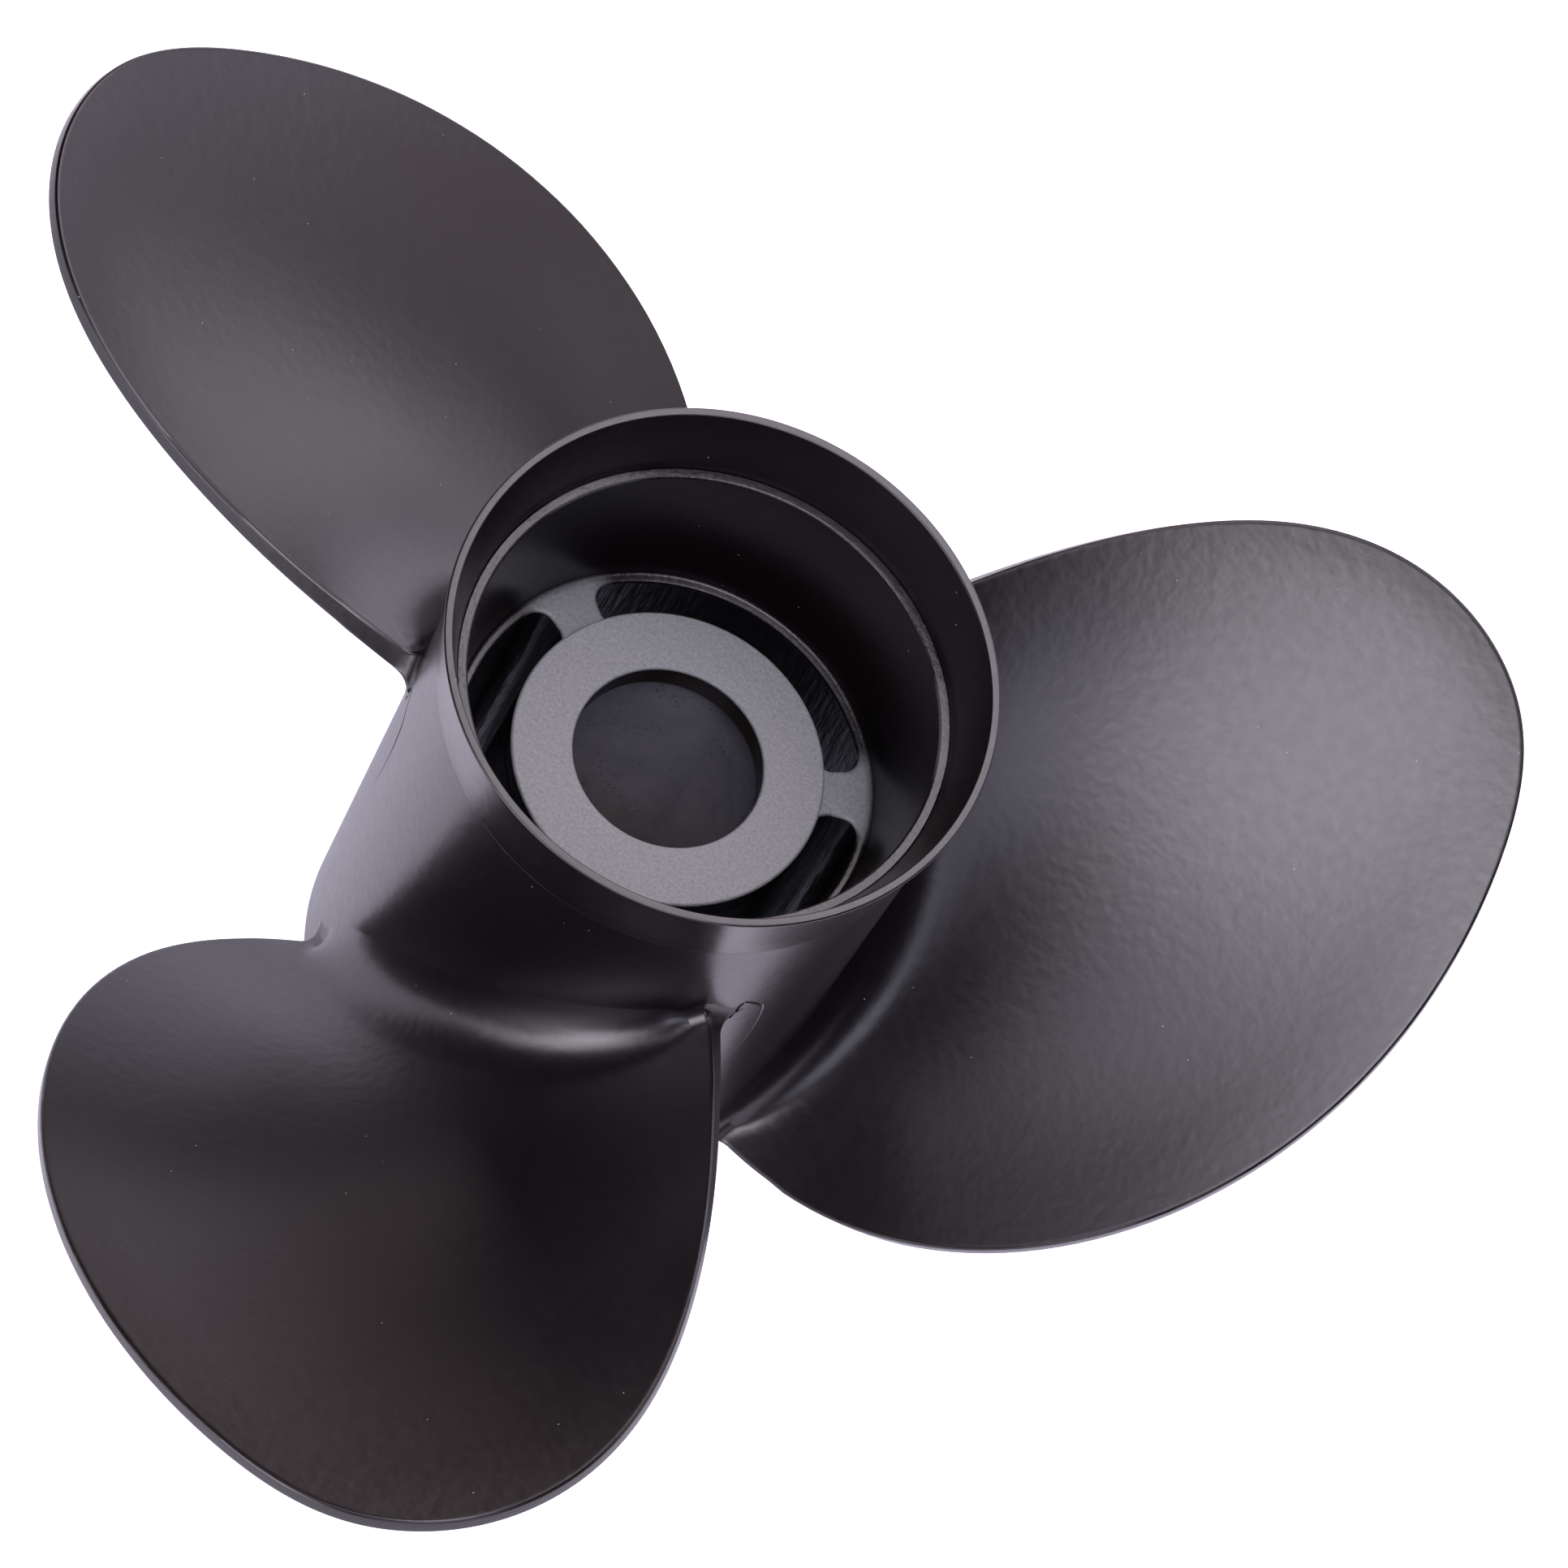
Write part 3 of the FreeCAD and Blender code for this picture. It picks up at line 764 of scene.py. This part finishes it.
def slot_cutter(number):
    """The solid that one exhaust slot leaves, flared at its aft edge."""
    angle = math.radians(SLOT_CENTRE) + BLADE_STEP * number
    loops = [kidney(angle, 0, height) for height in SLOT_CUT_HEIGHTS]
    for step in range(CORNER_STEPS + 1):
        turn = math.pi / 2 * step / CORNER_STEPS
        spread = SLOT_EDGE_ROUND * (1 - math.cos(turn))
        loops.append(kidney(angle, spread, WEB_FACE - SLOT_EDGE_ROUND * (1 - math.sin(turn))))
    loops.append(kidney(angle, SLOT_EDGE_ROUND, WEB_FACE + 0.6))
    return stacked("slot_cutter", loops)


def flatted_loop(radius, flat, height, steps=10):
    """A circle with four flats, turned to the socket's angle, as a loop at a height."""
    spread = math.acos(flat / radius)
    points = []
    for side in range(4):
        middle = math.radians(SOCKET_ANGLE) + side * math.pi / 2
        for step in range(steps):
            share = 2 * step / steps - 1
            across = radius * math.sin(spread) * share
            points.append(
                (
                    flat * math.cos(middle) - across * math.sin(middle),
                    flat * math.sin(middle) + across * math.cos(middle),
                    height,
                )
            )
        start, end = middle + spread, middle + math.pi / 2 - spread
        for step in range(steps):
            turn = start + (end - start) * step / steps
            points.append((radius * math.cos(turn), radius * math.sin(turn), height))
    return points


def build_casting():
    """Barrel, webs and hub turned in one, cut by the socket and slots, with the three blades."""
    profile = rounded_profile(
        (
            (FRONT_RADIUS, 0.0, 2.2),
            (SEAM_RADIUS, SEAM_HEIGHT, SEAM_ROUND),
            (SPIGOT_RADIUS, SEAM_HEIGHT, SPIGOT_FOOT_ROUND),
            (SPIGOT_RADIUS, BARREL_END, 0.3),
            (MOUTH_RADIUS, BARREL_END, 0.6),
            (LEDGE_RADIUS, WEB_FACE, 0.8),
            (HUB_RADIUS, WEB_FACE, 0.5),
            (HUB_RADIUS, HUB_FACE, 0.6),
            (HOLE_RADIUS, HUB_FACE, 0.5),
            (HOLE_RADIUS, HUB_FRONT, 0.0),
            (HUB_FRONT_RADIUS, HUB_FRONT, 0.8),
            (HUB_FRONT_RADIUS, WEB_FRONT, 2.0),
            (SLOT_OUTER, WEB_FRONT, 2.0),
            (FRONT_INNER_RADIUS, 0.0, 1.0),
        ),
        longest=2.0,
    )
    casting = revolved("casting", profile)
    socket = stacked(
        "socket",
        [
            flatted_loop(SOCKET_RADIUS, SOCKET_FLAT, height)
            for height in (HUB_FRONT - 2.0, HUB_FACE - HUB_WALL)
        ],
    )
    combine(casting, socket, "DIFFERENCE")
    for number in range(BLADE_COUNT):
        combine(casting, slot_cutter(number), "DIFFERENCE")
    verts, faces = blade_mesh()
    for number in range(BLADE_COUNT):
        blade = make_object(f"blade_{number + 1}", verts, faces)
        turn = Matrix.Rotation(BLADE_STEP * number, 4, "Z")
        blade.data.transform(turn)
        combine(casting, blade, "UNION")
        mark = casting_mark()
        mark.data.transform(turn)
        combine(casting, mark, "DIFFERENCE")
    casting.data.name = "casting"
    for polygon in casting.data.polygons:
        polygon.use_smooth = True
    return casting


def swept(start, end, curve, shares):
    """Profile points from start to end; the radius grows with this power of the height."""
    return [
        (
            start[0] + (end[0] - start[0]) * share**curve,
            start[1] + (end[1] - start[1]) * share,
            0.0,
        )
        for share in shares
    ]


def build_ring():
    """The flared ring over the barrel's spigot."""
    shares = [step / FLARE_STEPS for step in range(1, FLARE_STEPS)]
    rim, rim_inside = (RIM_RADIUS, RIM_HEIGHT), (RIM_INNER_RADIUS, RIM_HEIGHT)
    corners = (
        [(SEAM_RADIUS, SEAM_HEIGHT, SEAM_ROUND)]
        + swept((SEAM_RADIUS, SEAM_HEIGHT), rim, FLARE_CURVE, shares)
        + [(*rim, RIM_ROUND), (*rim_inside, RIM_ROUND)]
        + swept((SPIGOT_RADIUS, BARREL_END), rim_inside, THROAT_CURVE, shares[::-1])
        + [(SPIGOT_RADIUS, BARREL_END, 0.0), (SPIGOT_RADIUS, SEAM_HEIGHT, SPIGOT_FOOT_ROUND)]
    )
    return revolved("aft_ring", rounded_profile(corners))


def eased_levels(low, high, rounding, steps=6):
    """Heights from low to high, each with how far the outline is shrunk there to round both ends."""
    turns = np.linspace(0, math.pi / 2, steps + 1)
    ends = [(abs(rounding) * (1 - math.cos(turn)), rounding * (1 - math.sin(turn))) for turn in turns]
    return [(low + rise, shrink) for rise, shrink in ends] + [
        (high - rise, shrink) for rise, shrink in reversed(ends)
    ]


def cutter_levels(low, high, rounding):
    """Levels of a cutter that rounds both edges of its hole and runs out past the ends."""
    levels = eased_levels(low, high, -rounding)
    below = (low - CUTTER_OVERRUN, levels[0][1])
    above = (high + CUTTER_OVERRUN, levels[-1][1])
    return [below] + levels + [above]


def flatted_prism(name, radius, flat, levels):
    """A flatted bar whose outline is shrunk at each level as the levels say."""
    return stacked(
        name, [flatted_loop(radius - shrink, flat - shrink, height, 16) for height, shrink in levels]
    )


def build_sleeve():
    """The flatted tube that fills the hub's socket."""
    radius, flat = SOCKET_RADIUS - SLEEVE_GAP, SOCKET_FLAT - SLEEVE_GAP
    sleeve = flatted_prism("sleeve", radius, flat, eased_levels(HUB_FRONT, SLEEVE_END, 0.6))
    bore_levels = cutter_levels(HUB_FRONT, SLEEVE_END, 0.5)
    bore = flatted_prism("bore", radius - SLEEVE_WALL, flat - SLEEVE_WALL, bore_levels)
    combine(sleeve, bore, "DIFFERENCE")
    return sleeve


def spline_loop(height, grow, round_radius=None):
    """The splined hole's outline grown by grow, or a circle with as many points."""
    foot, head = math.asin(SPACE_FOOT / SPLINE_MINOR), math.asin(SPACE_HEAD / SPLINE_MAJOR)
    pitch = 2 * math.pi / SPLINE_TEETH
    tip = (pitch - 2 * foot) / 4
    corners = [(-foot, SPLINE_MINOR), (-head, SPLINE_MAJOR), (0, SPLINE_MAJOR), (head, SPLINE_MAJOR)]
    corners += [(foot + tip * step, SPLINE_MINOR) for step in range(4)]
    points = []
    for tooth in range(SPLINE_TEETH):
        for turn, corner_radius in corners:
            radius = (round_radius or corner_radius) + grow
            angle = pitch * tooth + turn
            points.append((radius * math.cos(angle), radius * math.sin(angle), height))
    return points


def build_adapter():
    """The flatted plug with a splined hole and a round pilot at its front."""
    outline_levels = eased_levels(HUB_FRONT, ADAPTER_END, 0.5)
    adapter = flatted_prism("adapter", ADAPTER_RADIUS, ADAPTER_FLAT, outline_levels)
    pilot_end = HUB_FRONT + PILOT_DEPTH
    levels = cutter_levels(HUB_FRONT, ADAPTER_END, 0.4)
    middle = len(levels) // 2
    loops = [spline_loop(height, -shrink, PILOT_RADIUS) for height, shrink in levels[:middle]]
    loops += [spline_loop(pilot_end, 0, PILOT_RADIUS), spline_loop(pilot_end, 0)]
    loops += [spline_loop(height, -shrink) for height, shrink in levels[middle:]]
    combine(adapter, stacked("spline_hole", loops), "DIFFERENCE")
    return adapter


def build_washer():
    """The washer with a conical seat on its front."""
    profile = rounded_profile(
        (
            (WASHER_RADIUS, 0.0, 0.8),
            (WASHER_RADIUS, HUB_FRONT, 0.8),
            (WASHER_BORE, HUB_FRONT, 0.3),
            (WASHER_BORE, WASHER_SEAT_DEPTH, 0.2),
            (WASHER_SEAT, 0.0, 0.3),
        )
    )
    return revolved("washer", profile)


def shade(piece):
    """Smooth shading that keeps creases sharp and large flat faces flat."""
    piece.data.set_sharp_from_angle(angle=CREASE_ANGLE)
    weighting = piece.modifiers.new("weighting", "WEIGHTED_NORMAL")
    weighting.keep_sharp = True
    apply_modifiers(piece)


casting = build_casting()
ring = build_ring()
sleeve = build_sleeve()
adapter = build_adapter()
washer = build_washer()
for piece in (casting, ring, sleeve, adapter, washer):
    shade(piece)

PIECES = (
    (casting, "propeller", "propeller_casting", "black_paint"),
    (ring, "propeller", "diffuser_ring", "black_paint"),
    (sleeve, "drive_sleeve", "drive_sleeve", "sleeve_plastic"),
    (adapter, "spline_adapter", "spline_adapter", "adapter_brass"),
    (washer, "thrust_washer", "thrust_washer", "washer_brass"),
)
for piece, body, cad_node, slot in PIECES:
    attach(piece, body)
    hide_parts(cad_node)

# ---------------------------------------------------------------- materials


class Finish:
    """A material built from nodes, with its pattern fixed to the piece."""

    def __init__(self, name):
        self.material = bpy.data.materials.new(name)
        self.material.use_nodes = True
        self.tree = self.material.node_tree
        self.shader = self.tree.nodes["Principled BSDF"]
        self.coordinates = self.add("ShaderNodeTexCoord")
        self.place = self.coordinates.outputs["Object"]

    def add(self, kind, inputs=None, **settings):
        node = self.tree.nodes.new(kind)
        for name, value in settings.items():
            setattr(node, name, value)
        for name, value in (inputs or {}).items():
            self.feed(node.inputs[name], value)
        return node

    def feed(self, socket, value):
        if isinstance(value, bpy.types.NodeSocket):
            self.tree.links.new(value, socket)
        else:
            socket.default_value = value

    def math(self, operation, first, second=0.0):
        return self.add("ShaderNodeMath", {0: first, 1: second}, operation=operation).outputs[0]

    def noise(self, size, detail=2.0, stretch=(1, 1, 1)):
        """Noise whose spots are about this many millimetres across."""
        mapping = self.add("ShaderNodeMapping", {"Vector": self.place, "Scale": stretch})
        inputs = {"Vector": mapping.outputs[0], "Scale": 1 / (size * MM), "Detail": detail}
        return self.add("ShaderNodeTexNoise", inputs).outputs["Fac"]

    def spread(self, value, low, high, start=0.3, end=0.7):
        """The value from start to end, stretched over low to high."""
        inputs = {"Value": value, "From Min": start, "From Max": end, "To Min": low, "To Max": high}
        return self.add("ShaderNodeMapRange", inputs).outputs["Result"]

    def blend(self, share, first, second):
        """A colour between two colours."""
        mix = self.add("ShaderNodeMix", data_type="RGBA")
        for socket, value in zip((mix.inputs[0], mix.inputs[6], mix.inputs[7]), (share, first, second)):
            self.feed(socket, value)
        return mix.outputs[2]

    def radius_and_height(self):
        """Distance from the shaft axis and height, in metres."""
        parts = self.add("ShaderNodeSeparateXYZ", {"Vector": self.place})
        flat = self.add("ShaderNodeCombineXYZ", {"X": parts.outputs["X"], "Y": parts.outputs["Y"]})
        length = self.add("ShaderNodeVectorMath", {0: flat.outputs[0]}, operation="LENGTH")
        return length.outputs["Value"], parts.outputs["Z"]

    def specks(self, size, spacing, share):
        """1 on small round spots of this size, in this share of cells this far apart."""
        inputs = {"Vector": self.place, "Scale": 1 / (spacing * MM)}
        cells = self.add("ShaderNodeTexVoronoi", inputs)
        near = self.math("LESS_THAN", cells.outputs["Distance"], size / 2 / spacing)
        parts = self.add("ShaderNodeSeparateColor", {"Color": cells.outputs["Color"]})
        return self.math("MULTIPLY", near, self.math("LESS_THAN", parts.outputs[0], share))

    def bump(self, height, depth, below=None):
        """A normal raised by the height times the depth in millimetres, on top of another normal."""
        inputs = {"Height": height, "Distance": depth * MM, "Strength": 1.0}
        if below is not None:
            inputs["Normal"] = below
        return self.add("ShaderNodeBump", inputs).outputs["Normal"]

    def done(self, colour, roughness, normal, metallic=0.0):
        self.feed(self.shader.inputs["Base Color"], colour)
        self.feed(self.shader.inputs["Roughness"], roughness)
        self.feed(self.shader.inputs["Normal"], normal)
        self.feed(self.shader.inputs["Metallic"], metallic)
        return self.material


def grey(level, warmth=0.0):
    return (level * (1 + warmth), level, level * (1 - warmth), 1)


DUST = grey(0.22, 0.02)
BLACK = (0.0038, 0.0025, 0.0032, 1)
BLACK_DEEP = (0.0034, 0.0020, 0.0027, 1)
BLACK_WORN = (0.0046, 0.0030, 0.0038, 1)
BRASS_LIGHT = (0.30, 0.24, 0.15, 1)
BRASS_DARK = (0.19, 0.155, 0.10, 1)
# Turning rings per metre of radius.
TURNING_RINGS = 2600.0


def black_paint():
    """Satin black coat with orange peel, faint mottling and dust specks, streaky in the slots."""
    finish = Finish("black_paint")
    mottle = finish.noise(22, 3)
    colour = finish.blend(finish.spread(mottle, 0, 1), BLACK_DEEP, BLACK_WORN)
    colour = finish.blend(finish.specks(0.3, 5.0, 0.45), colour, DUST)
    roughness = finish.spread(finish.noise(2.5, 3), 0.28, 0.31)
    peel = finish.bump(finish.noise(2.6, 1.2), 0.045)
    normal = finish.bump(finish.noise(0.4, 2), 0.006, peel)
    radius, height = finish.radius_and_height()
    in_slot = finish.math("LESS_THAN", radius, (LEDGE_RADIUS - 1) * MM)
    outside_bore = finish.math("GREATER_THAN", radius, (SOCKET_RADIUS + 1) * MM)
    below_web = finish.math("LESS_THAN", height, (WEB_FACE - 1) * MM)
    rough_cast = finish.math("MULTIPLY", finish.math("MULTIPLY", in_slot, outside_bore), below_web)
    streaks = finish.math("MULTIPLY", finish.noise(1.6, 3, (1, 1, 0.12)), rough_cast)
    normal = finish.bump(streaks, 0.3, normal)
    return finish.done(colour, roughness, normal)


def coarse_paint():
    """The same coat over sandy casting faces, rougher and grainy, with a painted highlight: a grey tone
    that fades off the webs.
    """
    finish = Finish("black_paint_coarse")
    radius, height = finish.radius_and_height()
    above_web = finish.math("GREATER_THAN", height, (HUB_FACE - 1.5) * MM)
    within = finish.math("LESS_THAN", radius, (HUB_RADIUS + 1) * MM)
    on_hub = finish.math("MULTIPLY", above_web, within)
    parts = finish.add("ShaderNodeSeparateXYZ", {"Vector": finish.place})
    angle = finish.math("ARCTAN2", parts.outputs["Y"], parts.outputs["X"])
    web_centre = math.radians(SLOT_CENTRE) + BLADE_STEP / 2
    turned = finish.math("MULTIPLY", finish.math("SUBTRACT", angle, web_centre), BLADE_COUNT)
    # The painted highlight, a grey tone, fades out towards each web's sides and towards the ledge.
    near_web = finish.spread(finish.math("COSINE", turned), 0.0, 1.0, 0.72, 0.92)
    inside_ledge = finish.spread(radius, 1.0, 0.25, (LEDGE_RADIUS - 1.6) * MM, LEDGE_RADIUS * MM)
    on_web = finish.math("MULTIPLY", near_web, inside_ledge)
    share = finish.math("MAXIMUM", on_hub, on_web)
    # Grain between two greys: the sandy casting is real, and its lift from black to grey is a painted
    # highlight.
    grain = finish.spread(finish.noise(0.7, 3), 0, 1)
    grain_and_painted_highlight = finish.blend(grain, grey(0.12, -0.02), grey(0.18, -0.02))
    grain_and_painted_highlight = finish.blend(finish.specks(0.5, 6.0, 0.3), grain_and_painted_highlight, DUST)
    colour = finish.blend(share, BLACK, grain_and_painted_highlight)
    roughness = finish.spread(share, 0.32, 0.46, 0.0, 1.0)
    sand = finish.bump(finish.noise(1.1, 3), 0.11)
    normal = finish.bump(finish.noise(5, 2), 0.12, sand)
    return finish.done(colour, roughness, normal)


def sleeve_plastic():
    """Grey moulded plastic with a dry sheen and rubbed patches, its grey lifted as a painted light for
    the hole's inside, and clusters of small pits painted as darker dots, a painted shade.
    """
    finish = Finish("sleeve_plastic")
    # The plastic's grey is lighter than its own tone: a painted light for the light falling into the
    # hub's hole.
    colour = finish.blend(
        finish.spread(finish.noise(8, 4), 0, 1), (0.16, 0.157, 0.185, 1), (0.20, 0.197, 0.23, 1)
    )
    # Small pits drawn only as darker dots, a painted shade in their hollows.
    pitted = finish.math("GREATER_THAN", finish.noise(14, 2), 0.56)
    pits_with_painted_shade = finish.math("MULTIPLY", finish.specks(0.7, 1.1, 0.5), pitted)
    colour = finish.blend(pits_with_painted_shade, colour, grey(0.10))
    roughness = finish.spread(finish.noise(3, 3), 0.42, 0.58)
    scuffs = finish.bump(finish.noise(1.2, 4, (1, 1, 0.15)), 0.03)
    normal = finish.bump(finish.noise(0.5, 3), 0.02, scuffs)
    return finish.done(colour, roughness, normal)


def brass(name, tool_marks):
    """Brass with turning rings on its flat ends, tool marks along its sides and darker patches."""
    finish = Finish(name)
    patches = finish.spread(finish.noise(9, 4), 0, 1)
    colour = finish.blend(patches, BRASS_LIGHT, BRASS_DARK)
    radius, _ = finish.radius_and_height()
    along_radius = finish.add("ShaderNodeCombineXYZ", {"X": radius})
    rings = finish.add(
        "ShaderNodeTexNoise",
        {"Vector": along_radius.outputs[0], "Scale": TURNING_RINGS, "Detail": 1.0},
    ).outputs["Fac"]
    normals = finish.add("ShaderNodeSeparateXYZ", {"Vector": finish.coordinates.outputs["Normal"]})
    on_end = finish.math("GREATER_THAN", finish.math("ABSOLUTE", normals.outputs["Z"]), 0.7)
    on_side = finish.math("SUBTRACT", 1.0, on_end)
    marks = finish.noise(0.5, 2, tool_marks)
    height = finish.math(
        "ADD", finish.math("MULTIPLY", rings, on_end), finish.math("MULTIPLY", marks, on_side)
    )
    normal = finish.bump(height, 0.012)
    roughness = finish.spread(finish.noise(4, 4), 0.34, 0.52)
    return finish.done(colour, roughness, normal, 1.0)


def paint(piece, *materials):
    piece.data.materials.clear()
    for material in materials:
        piece.data.materials.append(material)


def coarse_faces(mesh):
    """Gives the second material to the aft faces of the hub, the webs and the barrel's spigot."""
    for polygon in mesh.polygons:
        centre = polygon.center / MM
        radius = math.hypot(centre.x, centre.y)
        on_hub = centre.z > HUB_FACE - 0.6 and radius < HUB_RADIUS
        on_web = abs(centre.z - WEB_FACE) < 0.5 and HUB_RADIUS < radius < LEDGE_RADIUS + 0.5
        on_mouth = centre.z > BARREL_END - 0.7 and radius > MOUTH_RADIUS - 0.2
        polygon.material_index = int(on_hub or on_web or on_mouth)


coat = black_paint()
paint(casting, coat, coarse_paint())
coarse_faces(casting.data)
paint(ring, coat)
paint(sleeve, sleeve_plastic())
along_axis = (1, 1, 0.03)
round_axis = (0.05, 0.05, 1)
paint(adapter, brass("adapter_brass", along_axis))
paint(washer, brass("washer_brass", round_axis))

# ---------------------------------------------------------------- floor, light and camera


FLOOR_GLOW = 0.5
FLOOR_SHOWN = 0.9
FLOOR_TINT = (0.96, 0.9, 1.2, 1)
FLOOR_REACH = 6.0


def floor_finish():
    """A pale, faintly glowing sweep that looks near white to the camera."""
    finish = Finish("floor_paint")
    tree, output = finish.tree, finish.tree.nodes["Material Output"]
    mottle = finish.spread(finish.noise(60, 3), 0.78, 0.82)
    ray = finish.add("ShaderNodeLightPath").outputs["Is Camera Ray"]
    glow = finish.spread(ray, FLOOR_GLOW, FLOOR_SHOWN, 0.0, 1.0)
    diffuse = finish.add("ShaderNodeBsdfDiffuse", {"Color": mottle})
    emission = finish.add("ShaderNodeEmission", {"Color": FLOOR_TINT, "Strength": glow})
    total = finish.add("ShaderNodeAddShader")
    tree.links.new(diffuse.outputs[0], total.inputs[0])
    tree.links.new(emission.outputs[0], total.inputs[1])
    tree.links.new(total.outputs[0], output.inputs["Surface"])
    return finish.material


corners = [(x * FLOOR_REACH, y * FLOOR_REACH, 0) for x, y in ((-1, -1), (1, -1), (1, 1), (-1, 1))]
floor = make_object("floor", corners, [(0, 1, 2, 3)])
floor.data.materials.append(floor_finish())

world = bpy.data.worlds.new("studio")
bpy.context.scene.world = world
world.use_nodes = True
backdrop = world.node_tree.nodes["Background"]
seen = world.node_tree.nodes.new("ShaderNodeLightPath")
world.node_tree.links.new(seen.outputs["Is Camera Ray"], backdrop.inputs["Strength"])
backdrop.inputs["Color"].default_value = (1, 1, 1, 1)

SOFTBOX_RADIUS = 0.42
SOFTBOX_DISTANCE = 2.0
STUDIO_CENTRE = Vector((0, 0, 0.08))

PLAIN = (1.0, 0.94, 1.04)
WARM = (1.14, 0.93, 0.97)
COOL = (0.95, 0.91, 1.14)

# Azimuth and elevation in degrees, brightness and colour of each softbox.
SOFTBOXES = {
    "overhead": (128, 74, 8.7, PLAIN),
    "overhead_left": (43, 81, 4.7, PLAIN),
    "near_left": (76, 67, 1.9, COOL),
    "side_left": (55, 55, 1.3, PLAIN),
    "side_right": (140, 53, 2.9, COOL),
    "low_left": (50, 10, 3.0, PLAIN),
    "low_near": (78, 15, 8.0, PLAIN),
    "low_between": (62, 21, 7.0, PLAIN),
    "low_right": (117, 29, 3.4, COOL),
    "far_overhead": (-82, 62, 6.5, PLAIN),
    "far_left": (-70, 40, 5.6, WARM),
    "far_middle": (-102, 45, 2.7, COOL),
    "far_right": (-122, 37, 1.0, WARM),
    "back_right": (-142, 30, 1.3, PLAIN),
    "far_low_left": (-45, 17, 0.7, WARM),
    "far_low": (-65, 11, 1.5, COOL),
    "far_low_middle": (-97, 15, 2.6, PLAIN),
    "far_low_right": (-117, 9, 1.7, PLAIN),
}


def direction(azimuth, elevation):
    """Unit vector from the propeller towards angles given in radians."""
    return Vector(
        (
            math.cos(elevation) * math.cos(azimuth),
            math.cos(elevation) * math.sin(azimuth),
            math.sin(elevation),
        )
    )


def add_softbox(name, azimuth, elevation, brightness, colour):
    """A round softbox that faces the propeller and looks this bright from there."""
    light = bpy.data.lights.new(name, "AREA")
    light.shape = "DISK"
    light.size = 2 * SOFTBOX_RADIUS
    light.energy = brightness * (math.pi * SOFTBOX_RADIUS) ** 2
    light.color = colour
    toward = direction(math.radians(azimuth), math.radians(elevation))
    softbox = bpy.data.objects.new(name, light)
    softbox.location = STUDIO_CENTRE + toward * SOFTBOX_DISTANCE
    softbox.rotation_euler = toward.to_track_quat("Z", "Y").to_euler()
    softbox.visible_camera = False
    bpy.context.scene.collection.objects.link(softbox)


for name, settings in SOFTBOXES.items():
    add_softbox(name, *settings)

CAMERA_AZIMUTH = 99.24
CAMERA_ELEVATION = 60.284
CAMERA_ROLL = 31.764
CAMERA_DISTANCE = 2.19359
CAMERA_TARGET = Vector((-0.02236, -0.00364, 0.12262))
CAMERA_LENS = 250.68

toward_camera = direction(math.radians(CAMERA_AZIMUTH), math.radians(CAMERA_ELEVATION))
camera_data = bpy.data.cameras.new("camera")
camera_data.lens = CAMERA_LENS
camera_data.clip_end = 50
camera = bpy.data.objects.new("camera", camera_data)
bpy.context.scene.collection.objects.link(camera)
bpy.context.scene.camera = camera
turn = (-toward_camera).to_track_quat("-Z", "Y").to_matrix().to_4x4()
roll = Matrix.Rotation(math.radians(CAMERA_ROLL), 4, "Z")
camera.matrix_world = (
    Matrix.Translation(CAMERA_TARGET + toward_camera * CAMERA_DISTANCE) @ turn @ roll
)

bpy.context.scene.view_settings.view_transform = "Standard"
